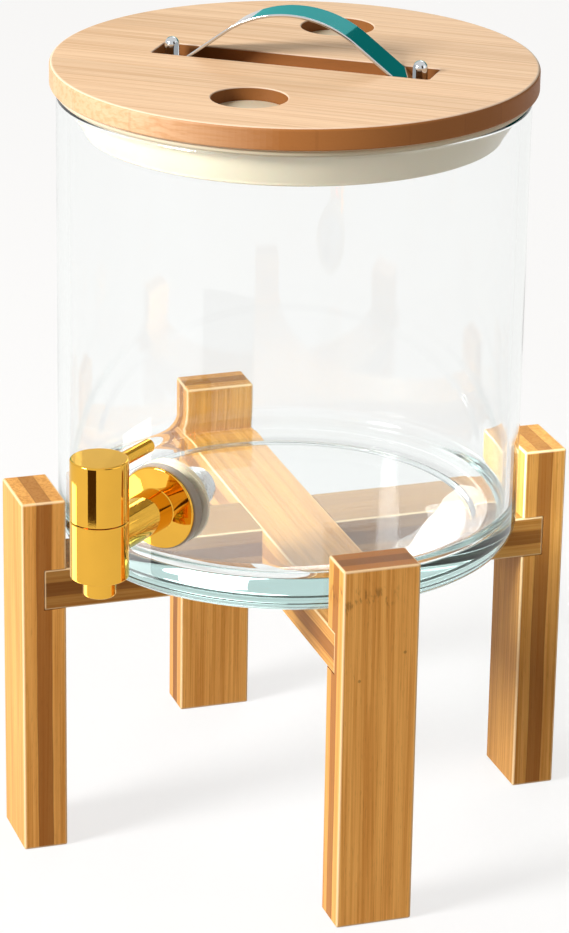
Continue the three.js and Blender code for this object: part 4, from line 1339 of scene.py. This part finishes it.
class DISPENSER_OT_tap_seals(Operator):
    """Makes the washers and the nut that clamp the tap to the glass"""
    bl_idname = "dispenser.tap_seals"
    bl_label = "Tap washers and nut"

    def execute(self, context):
        s = values("tap")
        jar = values("jar")
        valve = values("valve")
        gap = valve.plug_play
        hole = s.thread_radius + 2 * gap
        glass_inside = jar.radius - jar.wall
        saddle = 3 * gap
        outer_start = glass_inside - TAP_DISTANCE
        outer_section = box_profile(hole, s.washer_radius, outer_start, -s.spout_reach - gap, s.edge)
        outer = carved(
            moved(turned(outer_section, MIDDLE_STEPS), ALONG_X),
            ("DIFFERENCE", jar_wall(jar.radius + saddle)),
        )
        show("washer_outside_glass", moved(outer, TAP_PLACE), finish(grey_silicone), "jar",
             ["outer_washer"])

        inner_face = glass_inside - s.inner_washer
        inner_start = inner_face - TAP_DISTANCE
        inner_section = box_profile(hole, s.washer_radius, inner_start, jar.radius - TAP_DISTANCE, s.edge)
        inner = carved(
            moved(turned(inner_section, MIDDLE_STEPS), ALONG_X),
            ("INTERSECT", jar_wall(glass_inside - saddle)),
        )
        show("washer_inside_glass", moved(inner, TAP_PLACE), finish(cream_silicone), "jar",
             ["inner_washer"])

        steel_top = inner_face - gap - TAP_DISTANCE
        steel_section = box_profile(hole, s.steel_radius, steel_top - s.steel_washer, steel_top, s.edge / 2)
        steel = moved(turned(steel_section), ALONG_X, TAP_PLACE)
        show("washer_under_nut", steel, finish(plain_steel), "jar", ["steel_washer"])

        nut_top = steel_top - s.steel_washer - gap
        nut_bottom = nut_top - s.nut_thickness
        corner = s.nut_flats / 2 / math.cos(math.pi / 6)
        prism = rod(corner, nut_bottom, nut_top, 6)
        rim = corner - s.nut_chamfer
        chamfer_rise = s.nut_chamfer * math.tan(math.pi / 6)
        bevelled = turned([
            (0, nut_bottom),
            (rim, nut_bottom),
            (corner, nut_bottom + chamfer_rise),
            (corner, nut_top - chamfer_rise),
            (rim, nut_top),
            (0, nut_top),
        ])
        through = rod(hole, nut_bottom - hole, nut_top + hole)
        nut = carved(prism, ("INTERSECT", bevelled), ("DIFFERENCE", through))
        show("six_sided_nut", moved(nut, ALONG_X, TAP_PLACE), finish(plain_steel), "jar",
             ["shank_nut"])
        return {"FINISHED"}


class DISPENSER_OT_valve(Operator):
    """Makes the plug, its O-rings and the gland ring"""
    bl_idname = "dispenser.valve"
    bl_label = "Valve plug"

    def execute(self, context):
        s = values("valve")
        tap = values("tap")
        handle = values("tap_handle")
        gap = s.plug_play
        groove = s.plug_radius - s.groove_depth
        bottom = -s.plug_drop + gap
        gland_seat = tap.neck_top - s.gland_thickness - gap
        stem_top = handle.cap_bottom + handle.cap_height - handle.cap_crown - 2 * gap
        profile = [(0, bottom), (s.plug_radius - tap.edge, bottom), (s.plug_radius, bottom + tap.edge)]
        for height in (-s.ring_offset, s.ring_offset):
            half = s.groove_width / 2
            profile += [(s.plug_radius, height - half), (groove, height - half)]
            profile += [(groove, height + half), (s.plug_radius, height + half)]
        profile += [(s.plug_radius, gland_seat - gap), (s.stem_radius, gland_seat - gap)]
        profile += [(s.stem_radius, stem_top - tap.edge), (s.stem_radius - tap.edge, stem_top), (0, stem_top)]
        over = s.plug_radius
        outlet = [(0, bottom - over), (s.plug_bore, bottom - over), *arc((0, 0), s.plug_bore, 0, 90)]
        window = rod(s.plug_bore, 0, 2 * over, SMALL_STEPS)
        lever_hole = rod(handle.screw_radius + 2 * gap, -2 * over, 0, SMALL_HOLE_STEPS)
        plug = carved(
            turned(profile),
            ("DIFFERENCE", turned(outlet, SMALL_STEPS)),
            ("DIFFERENCE", moved(window, ALONG_Y)),
            ("DIFFERENCE", moved(lever_hole, ALONG_X, shift(0, 0, handle.lever_height))),
        )
        show("turning_plug", moved(plug, TAP_PLACE), finish(turned_brass), "tap_handle",
             ["valve_plug"])

        centre = (groove + s.plug_radius + gap - s.ring_gap) / 2
        section = arc((centre, 0), centre - groove, 0, 360, 20)[:-1]
        for name, node, height in (
            ("o_ring_below_window", "plug_o_ring_lower", -s.ring_offset),
            ("o_ring_above_window", "plug_o_ring_upper", s.ring_offset),
        ):
            ring = moved(turned(section), shift(0, 0, height), TAP_PLACE)
            show(name, ring, finish(nitrile), "tap_handle", [node], 60)

        gland_bottom = gland_seat + gap
        gland_top = gland_bottom + s.gland_thickness - gap
        section = box_profile(s.stem_radius + 2 * gap, s.gland_radius, gland_bottom, gland_top, tap.edge)
        gland = moved(turned(section), TAP_PLACE)
        show("gland_above_plug", gland, finish(turned_brass), "jar", ["gland_ring"])
        return {"FINISHED"}


class DISPENSER_OT_tap_handle(Operator):
    """Makes the handle cap and its lever"""
    bl_idname = "dispenser.tap_handle"
    bl_label = "Tap handle"

    def execute(self, context):
        s = values("tap_handle")
        tap = values("tap")
        valve = values("valve")
        gap = valve.plug_play
        top = s.cap_bottom + s.cap_height
        radius = tap.body_radius
        profile = [(0, s.cap_bottom), (radius - tap.edge, s.cap_bottom), (radius, s.cap_bottom + tap.edge)]
        profile += arc((radius - s.cap_edge, top - s.cap_edge), s.cap_edge, 0, 90)
        profile.append((0, top))
        skirt_bore = tap.neck_radius + 3 * gap
        socket = valve.stem_radius + gap
        socket_top = top - s.cap_crown - gap
        over = radius
        ceiling = tap.neck_top + 3 * gap
        inside = [(0, s.cap_bottom - over), (skirt_bore, s.cap_bottom - over), (skirt_bore, ceiling)]
        inside += [(socket, ceiling), (socket, socket_top), (0, socket_top)]
        hole_steps = 48
        hole = rod(s.screw_radius + 2 * gap, -2 * over, 0, hole_steps)
        recess = rod(s.lever_radius + 2 * gap, -2 * over, -radius + s.lever_seat, SMALL_STEPS)
        tooth = ring_sector(
            tap.neck_radius - s.tooth_reach,
            skirt_bore + tap.edge,
            -s.tooth_turn,
            s.tooth_turn,
            tap.neck_top - s.tooth_height,
            ceiling + tap.edge,
        )
        cap = carved(
            turned(profile, MIDDLE_STEPS),
            ("DIFFERENCE", turned(inside)),
            ("DIFFERENCE", moved(hole, ALONG_X, shift(0, 0, s.lever_height))),
            ("DIFFERENCE", moved(recess, ALONG_X, shift(0, 0, s.lever_height))),
            ("UNION", tooth),
        )
        show("handle_cap_gold", moved(cap, TAP_PLACE), finish(gold_plate), "tap_handle",
             ["handle_cap"])

        shoulder = -radius + s.lever_seat - gap
        core = s.screw_radius - s.screw_pitch / 2
        lever = [(0, -s.lever_reach)]
        lever += arc((s.lever_radius - s.lever_edge, -s.lever_reach + s.lever_edge), s.lever_edge, -90, 0)
        lever += [(s.lever_radius, shoulder), (core, shoulder)]
        lever += [(core, shoulder + s.screw_reach), (0, shoulder + s.screw_reach)]
        run = s.screw_reach - s.screw_pitch
        turn_steps = 24
        ridge = thread_ridge(core, s.screw_pitch / 2, s.screw_pitch, run, turn_steps, gold_plate)
        moved(ridge, shift(0, 0, shoulder + s.screw_pitch / 2))
        whole = joined(turned(lever, SMALL_STEPS), ridge)
        moved(whole, ALONG_X, shift(0, 0, s.lever_height), TAP_PLACE)
        show("lever_rod", whole, finish(gold_plate), "tap_handle", ["lever_pin"])
        return {"FINISHED"}


# Lid, in its own frame: the slot runs along X

class DISPENSER_OT_lid_board(Operator):
    """Makes the bamboo board of the lid"""
    bl_idname = "dispenser.lid_board"
    bl_label = "Lid board"

    def execute(self, context):
        s = values("lid")
        bottom, top = (corner.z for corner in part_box("lid_board"))
        profile = [(0, bottom)]
        profile += arc((s.radius - s.under_edge, bottom + s.under_edge), s.under_edge, -90, 0)
        profile += arc((s.radius - s.top_edge, top - s.top_edge), s.top_edge, 0, 90)
        profile.append((0, top))
        floor = top - s.pocket_depth
        edge = s.pocket_edge
        # The pocket cutters flare over the last half millimetre, which leaves their edges sanded round.
        flare_steps = 6
        flare = []
        for i in range(flare_steps + 1):
            turn = math.radians(90 * i / flare_steps)
            flare.append((edge * (1 - math.cos(turn)), top - edge + edge * math.sin(turn)))
        sections = []
        for grow, height in [(0, floor), *flare, (edge, top + edge)]:
            outline = rounded_outline(s.slot_length + 2 * grow, s.slot_width + 2 * grow, s.slot_corner + grow)
            sections.append([(x, y, height) for x, y in outline])
        steps = [("DIFFERENCE", lofted(sections))]
        hole_radius = values("handle").screw_radius + values("handle").hole_gap
        for side in (-1, 1):
            well = [(0, bottom - edge), (s.well_radius, bottom - edge)]
            well += [(s.well_radius + grow, height) for grow, height in flare]
            well += [(s.well_radius + edge, top + edge), (0, top + edge)]
            steps.append(("DIFFERENCE", moved(turned(well, MIDDLE_STEPS), shift(0, side * s.well_offset, 0))))
            hole = rod(hole_radius, bottom - edge, top, SMALL_HOLE_STEPS)
            steps.append(("DIFFERENCE", moved(hole, shift(side * POST_REACH, 0, 0))))
        mesh = carved(turned(profile, LID_STEPS), *steps)
        # Fibres along the slot; the strips lie across it.
        to_board = Matrix(((0, 0, 1, -middle("lid_board").z), (0, 1, 0, 0), (1, 0, 0, 0), (0, 0, 0, 1)))
        lay_grain(mesh, to_board, marks_of=round_marks)
        moved(mesh, LID_PLACE)
        show("lid_bamboo_board", mesh, finish(lid_bamboo), "lid", ["lid_board"])
        return {"FINISHED"}


class DISPENSER_OT_lid_seal(Operator):
    """Makes the silicone seal under the board"""
    bl_idname = "dispenser.lid_seal"
    bl_label = "Lid seal"

    def execute(self, context):
        s = values("lid")
        jar = values("jar")
        board_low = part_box("lid_board")[0].z
        seal_low, seal_high = (corner.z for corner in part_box("lid_seal"))
        top = board_low - values("stand").joint_gap
        rest = top - s.flange_thickness
        under = top - s.plate_thickness
        band = jar.radius - jar.wall - s.seal_gap
        lip = s.skirt_wall / 2
        lip_radius = band - s.skirt_taper - lip
        fillet = lip / 2
        rim = jar.wall / 2
        on_rim = rim + values("stand").joint_gap
        wrap_turn = math.degrees(math.acos((rim - s.flange_wrap) / on_rim))
        flange = jar.radius + s.flange_proud
        half = (s.flange_thickness + s.flange_wrap) / 2
        profile = [(0, under)]
        profile += arc((band - s.skirt_wall - fillet, under - fillet), fillet, 90, 0)
        profile.append((band - s.skirt_wall, rest - s.seal_band))
        profile += arc((lip_radius, seal_low + lip), lip, 180, 360, 16)
        profile += [(band, rest - s.seal_band), (band, rest)]
        profile += arc((jar.radius - rim, rest - on_rim), on_rim, 90, 90 - wrap_turn)
        profile += arc((flange - half, top - half), half, -75, 90)
        profile.append((0, top))
        steps = []
        boss_radius = s.well_radius - 2 * values("stand").joint_gap
        hole_radius = values("handle").screw_radius + values("handle").hole_gap
        edge = s.pocket_edge / 2
        for side in (-1, 1):
            boss = [(0, (under + top) / 2), (boss_radius, (under + top) / 2)]
            boss += [(boss_radius, seal_high - edge), (boss_radius - edge, seal_high), (0, seal_high)]
            steps.append(("UNION", moved(turned(boss, MIDDLE_STEPS), shift(0, side * s.well_offset, 0))))
            hole = rod(hole_radius, under - lip, top + lip, SMALL_HOLE_STEPS)
            steps.append(("DIFFERENCE", moved(hole, shift(side * POST_REACH, 0, 0))))
        mesh = moved(carved(turned(profile, LID_STEPS), *steps), LID_PLACE)
        show("silicone_seal", mesh, finish(cream_silicone), "lid", ["lid_seal"], 40)
        return {"FINISHED"}


def strap_path():
    """Stations along the middle of the strap's thickness, as (x, z) from one foot's end to the other."""
    s = values("handle")
    half = s.thickness / 2
    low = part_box("strap_handle")[0].z + half
    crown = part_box("strap_handle")[1].z - half
    # The bow's radius lets its straight legs meet the feet at the bend, which is measured on the outside.
    corner_x = s.foot_bend - half * math.tan(s.slope / 2)
    straight = (crown - low) / math.tan(s.slope)
    bow = (corner_x - straight) / (math.sin(s.slope) - (1 - math.cos(s.slope)) / math.tan(s.slope))
    tangent = (bow * math.sin(s.slope), crown - bow * (1 - math.cos(s.slope)))
    back = s.bend * math.tan(s.slope / 2)
    slope = math.degrees(s.slope)
    bow_steps = 28
    leg_steps = 12
    right = arc((0, crown - bow), bow, 90, 90 - slope, bow_steps)
    bend_centre = (corner_x + back, low + s.bend)
    leg_end = (corner_x - back * math.cos(s.slope), low + back * math.sin(s.slope))
    for i in range(1, leg_steps + 1):
        right.append(tuple(a + (b - a) * i / leg_steps for a, b in zip(tangent, leg_end)))
    right += arc(bend_centre, s.bend, 270 - slope, 270)[1:]
    foot = s.foot_reach - s.foot_corner
    right += [(x, low) for x in (foot - s.foot_corner, foot)]
    right += [(foot + s.foot_corner * math.sin(math.radians(t)), low) for t in (20, 40, 60, 75, 90)]
    return [(-x, z) for x, z in reversed(right[1:])] + right


def strap_half_width(x):
    """The strap's half width at a distance from the lid's centre: full, then chamfered to its tongue."""
    s = values("handle")
    reach = abs(x)
    wide, narrow = s.width / 2, s.tongue_width / 2
    along = min(max((reach - s.tongue_start) / s.tongue_taper, 0), 1)
    half = wide + (narrow - wide) * along
    past = max(reach - (s.foot_reach - s.foot_corner), 0)
    return half - s.foot_corner + math.sqrt(max(s.foot_corner ** 2 - past ** 2, 0))


class DISPENSER_OT_strap(Operator):
    """Makes the bent steel strap"""
    bl_idname = "dispenser.strap"
    bl_label = "Strap handle"

    def execute(self, context):
        s = values("handle")
        path = strap_path()
        sections = []
        for i, (x, z) in enumerate(path):
            before, after = path[max(i - 1, 0)], path[min(i + 1, len(path) - 1)]
            along = Vector((after[0] - before[0], after[1] - before[1])).normalized()
            outward = Vector((-along.y, along.x))
            outline = rounded_outline(2 * strap_half_width(x), s.thickness, s.edge, 4)
            sections.append([(x + outward.x * up, across, z + outward.y * up) for across, up in outline])
        hole_radius = s.screw_radius + s.hole_gap
        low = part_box("strap_handle")[0].z
        holes = []
        for side in (-1, 1):
            hole = rod(hole_radius, low - s.thickness, low + 2 * s.thickness, SMALL_HOLE_STEPS)
            holes.append(("DIFFERENCE", moved(hole, shift(side * POST_REACH, 0, 0))))
        mesh = moved(carved(lofted(sections), *holes), LID_PLACE)
        show("bent_strap", mesh, finish(mirror_steel), "lid", ["strap_handle"], 35)
        return {"FINISHED"}


class DISPENSER_OT_fixings(Operator):
    """Makes the handle's screws, washers and domed nuts"""
    bl_idname = "dispenser.fixings"
    bl_label = "Handle fixings"

    def execute(self, context):
        s = values("handle")
        screw_low, screw_high = (corner.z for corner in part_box("handle_screw_right"))
        head_top = screw_low + s.head_height
        half = s.head_height / 2
        core = s.screw_radius - s.screw_pitch / 2
        screw = [(0, screw_low)]
        screw += arc((s.head_radius - half, screw_low + half), half, -90, 0)
        screw += [(s.head_radius, head_top), (core, head_top), (core, screw_high), (0, screw_high)]
        depth = 2 * s.recess_depth
        cross = []
        for across, deep in ((s.recess_length, s.recess_width), (s.recess_width, s.recess_length)):
            cross.append(("DIFFERENCE", moved(board((across, deep, depth), 0), shift(0, 0, screw_low))))
        head = carved(turned(screw, SMALL_STEPS), *cross)
        run = screw_high - head_top - s.screw_pitch
        turn_steps = 24
        ridge = thread_ridge(core, s.screw_pitch / 2, s.screw_pitch, run, turn_steps, plain_steel)
        screw_mesh = joined(head, moved(ridge, shift(0, 0, head_top + s.screw_pitch / 2)))

        washer_low, washer_high = (corner.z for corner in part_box("handle_washer_right"))
        washer_radius = span("handle_washer_right").x / 2
        bore = s.screw_radius + s.hole_gap
        washer = turned(box_profile(bore, washer_radius, washer_low, washer_high, s.washer_edge))

        nut_low, nut_high = (corner.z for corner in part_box("domed_nut_right"))
        foot_top = nut_low + s.dome_foot_height
        foot_edge = s.dome_foot_height / 2
        thread_top = screw_high + s.hole_gap
        dome = [(0, thread_top), (bore, thread_top), (bore, nut_low), (s.dome_foot_radius, nut_low)]
        dome += arc((s.dome_foot_radius - foot_edge, foot_top - foot_edge), foot_edge, 0, 90)
        dome.append((s.dome_radius, foot_top))
        dome += arc((0, nut_high - s.dome_radius), s.dome_radius, 0, 90, 16)
        pairs = (
            ("handle_screws", screw_mesh, plain_steel, "stainless_steel", "handle_screw"),
            ("handle_washers", washer, plain_steel, "stainless_steel", "handle_washer"),
            ("domed_cap_nuts", turned(dome, SMALL_STEPS), mirror_steel, "polished_steel", "domed_nut"),
        )
        start = middle("domed_nut_left")
        for name, mesh, maker, slot, node in pairs:
            part = helper(mesh)
            pair = grown(post_tree(), {
                "Part": part,
                "Start": (start.x, start.y, 0),
                "Step": (POST_LINE.x, POST_LINE.y, 0),
                "Turn": LID_TURN,
                "Material": finish(maker),
            })
            bpy.data.objects.remove(part)
            show(name, pair, finish(maker), "lid", [node + "_left", node + "_right"])
        return {"FINISHED"}


# Stage

def background_rays(tree):
    """1 for rays that see the background: straight from the camera, off metal, or through glass."""
    path = add(tree, "ShaderNodeLightPath")
    seen_rays = (path.outputs["Is Camera Ray"], path.outputs["Is Glossy Ray"])
    seen = add(tree, MATH, seen_rays, operation="MAXIMUM")
    return add(tree, MATH, (seen, path.outputs["Is Transmission Ray"]), operation="MAXIMUM")


def area_lamp(name, power, size, place, aim):
    data = bpy.data.lights.new(name, "AREA")
    data.shape = "DISK"
    data.size = size
    data.energy = power
    lamp = bpy.data.objects.new(name, data)
    lamp.location = place
    lamp.rotation_euler = (Vector(aim) - Vector(place)).to_track_quat("-Z", "Y").to_euler()
    bpy.context.scene.collection.objects.link(lamp)


def camera(s):
    a, e, r = s.azimuth, s.elevation, s.roll
    back = Vector((math.sin(a) * math.cos(e), -math.cos(a) * math.cos(e), math.sin(e)))
    level = Vector((math.cos(a), math.sin(a), 0))
    upright = back.cross(level)
    right = math.cos(r) * level + math.sin(r) * upright
    up = math.cos(r) * upright - math.sin(r) * level
    target = Vector((0, 0, s.target_height)) + s.target_side * level
    turn = Matrix((right, up, back)).transposed().to_4x4()
    data = bpy.data.cameras.new("camera")
    data.sensor_width = s.sensor
    data.lens = s.focal_pixels * s.sensor / max(PHOTO_WIDTH, PHOTO_HEIGHT)
    made = bpy.data.objects.new("camera", data)
    made.matrix_world = Matrix.Translation(target + s.distance * back) @ turn
    bpy.context.scene.collection.objects.link(made)
    bpy.context.scene.camera = made


def floor_material(s):
    # Matt white paper. What shows of it is partly its own white, so the background stays white with a soft
    # shadow, and it throws back less light than it shows, as paper far from the lamps does.
    made, tree = material("matt_white_paper")
    tints = values("finish")
    tooth_size = 1 * MM
    tooth_height = 0.05 * MM
    coordinates = add(tree, "ShaderNodeTexCoord")
    tooth = add(tree, "ShaderNodeTexNoise", {
        "Vector": coordinates.outputs["Object"],
        "Scale": 1 / tooth_size,
    })
    bump = add(tree, "ShaderNodeBump", {"Height": tooth, "Strength": 0.1, "Distance": tooth_height})
    seen = background_rays(tree)
    mix = {0: seen, 6: (*tints.paper_bounce, 1), 7: (*tints.paper, 1)}
    tint = add(tree, "ShaderNodeMix", mix, data_type="RGBA").outputs[2]
    paper = add(tree, "ShaderNodeBsdfDiffuse", {"Color": tint, "Normal": bump})
    white = add(tree, "ShaderNodeEmission", {"Color": (1, 1, 1, 1), "Strength": 1.0})
    share_white = add(tree, MATH, (seen, s.paper_white), operation="MULTIPLY")
    mixed = add(tree, "ShaderNodeMixShader", {0: share_white, 1: paper, 2: white})
    add(tree, "ShaderNodeOutputMaterial", {"Surface": mixed})
    return made


def card(name, tint, low, high, start, end, distance, centre=(0, 0), glow=1.0):
    """A standing card that bends round a centre, from one compass angle to another in degrees. Only mirror
    reflections see it, as they see the studio behind a camera."""
    steps = 12
    work = bmesh.new()
    columns = []
    for x, y in arc(centre, distance, start, end, steps):
        columns.append([work.verts.new((x, y, height)) for height in (low, high)])
    for left, right in zip(columns, columns[1:]):
        work.faces.new((left[0], right[0], right[1], left[1]))
    made, tree = material(name + "_paint")
    paint = add(tree, "ShaderNodeEmission", {"Color": (*tint, 1), "Strength": glow})
    add(tree, "ShaderNodeOutputMaterial", {"Surface": paint})
    item = bpy.data.objects.new(name, to_mesh(work))
    item.data.materials.append(made)
    bpy.context.scene.collection.objects.link(item)
    item.visible_camera = False
    item.visible_diffuse = False
    item.visible_transmission = False
    item.visible_volume_scatter = False
    item.visible_shadow = False


class DISPENSER_OT_stage(Operator):
    """Makes the floor, the world, the lamps, the cards and the camera"""
    bl_idname = "dispenser.stage"
    bl_label = "Stage"

    def execute(self, context):
        s = values("stage")
        scene = context.scene
        scene.view_settings.view_transform = "Standard"
        camera(s)
        work = bmesh.new()
        bmesh.ops.create_grid(work, x_segments=1, y_segments=1, size=s.floor_size / 2)
        floor = bpy.data.objects.new("floor", moved(to_mesh(work), shift(0, 0, -s.floor_gap)))
        floor.data.materials.append(floor_material(s))
        scene.collection.objects.link(floor)

        world = bpy.data.worlds.new("studio")
        world.use_nodes = True
        world.node_tree.nodes.clear()
        scene.world = world
        tree = world.node_tree
        white = add(tree, "ShaderNodeBackground", {"Color": (1, 1, 1, 1), "Strength": 1.0})
        sky_tint = values("finish").sky_tint
        light = add(tree, "ShaderNodeBackground", {"Color": (*sky_tint, 1), "Strength": s.sky})
        mixed = add(tree, "ShaderNodeMixShader", {0: background_rays(tree), 1: light, 2: white})
        add(tree, "ShaderNodeOutputWorld", {"Surface": mixed})

        # Light turns round many times inside the thick glass base, which would stay black with fewer bounces.
        scene.cycles.glossy_bounces = GLASS_BOUNCES
        scene.cycles.max_bounces = 2 * GLASS_BOUNCES
        aim = (0, 0, 160 * MM)
        area_lamp("key", power=s.key_power, size=0.7, place=(-1.85, -0.42, 1.24), aim=aim)
        area_lamp("fill", power=s.fill_power, size=1.4, place=(1.6, -1.2, 0.9), aim=aim)
        area_lamp("back", power=s.back_power, size=0.8, place=(0.9, 1.5, 1.2), aim=aim)

        # The strap mirrors blue-green and white cards behind it. The tap and the nuts mirror dark cards in
        # front of them, and the tap a white one to its left.
        tints = values("finish")
        tap = TAP_POINT.xy
        card("wall_light", tints.card_light, low=0.3, high=1.083, start=48, end=100, distance=1.5)
        card("wall_deep", tints.card_deep, low=0.3, high=1.12, start=10, end=48, distance=1.5)
        card("dark_low", tints.card_black, low=0.052, high=0.13, start=-150, end=-117, distance=0.3,
             centre=tap)
        card("dark_high", tints.card_black, low=0.36, high=1.5, start=-88, end=-60, distance=1.2)
        card("bright_left", tints.card_white, low=0.04, high=0.15, start=130, end=160, distance=0.09,
             centre=tap, glow=5.0)
        card("bright_back", tints.card_white, low=0.44, high=0.45, start=48, end=66, distance=0.25, glow=1.2)
        return {"FINISHED"}


# Add-on

class DISPENSER_PT_pieces(Panel):
    """Lists the pieces of the dispenser"""
    bl_idname = "DISPENSER_PT_pieces"
    bl_label = "Dispenser"
    bl_space_type = "VIEW_3D"
    bl_region_type = "UI"
    bl_category = "Dispenser"

    def draw(self, context):
        for operator in OPERATORS:
            self.layout.operator(operator.bl_idname)


GROUPS = {
    "stand": StandSizes,
    "jar": JarSizes,
    "tap": TapSizes,
    "valve": ValveSizes,
    "tap_handle": TapHandleSizes,
    "lid": LidSizes,
    "handle": HandleSizes,
    "finish": FinishColours,
    "stage": StageValues,
}

OPERATORS = [
    DISPENSER_OT_stage,
    DISPENSER_OT_legs,
    DISPENSER_OT_bars,
    DISPENSER_OT_jar,
    DISPENSER_OT_tap_body,
    DISPENSER_OT_tap_seals,
    DISPENSER_OT_valve,
    DISPENSER_OT_tap_handle,
    DISPENSER_OT_lid_board,
    DISPENSER_OT_lid_seal,
    DISPENSER_OT_strap,
    DISPENSER_OT_fixings,
]


def register():
    for name, group in GROUPS.items():
        bpy.utils.register_class(group)
        setattr(bpy.types.Scene, "dispenser_" + name, PointerProperty(type=group))
    for entry in [*OPERATORS, DISPENSER_PT_pieces]:
        bpy.utils.register_class(entry)


def unregister():
    for entry in [DISPENSER_PT_pieces, *reversed(OPERATORS)]:
        bpy.utils.unregister_class(entry)
    for name, group in reversed(GROUPS.items()):
        delattr(bpy.types.Scene, "dispenser_" + name)
        bpy.utils.unregister_class(group)


def main():
    register()
    for operator in OPERATORS:
        family, name = operator.bl_idname.split(".")
        getattr(getattr(bpy.ops, family), name)()


if __name__ == "__main__":
    main()
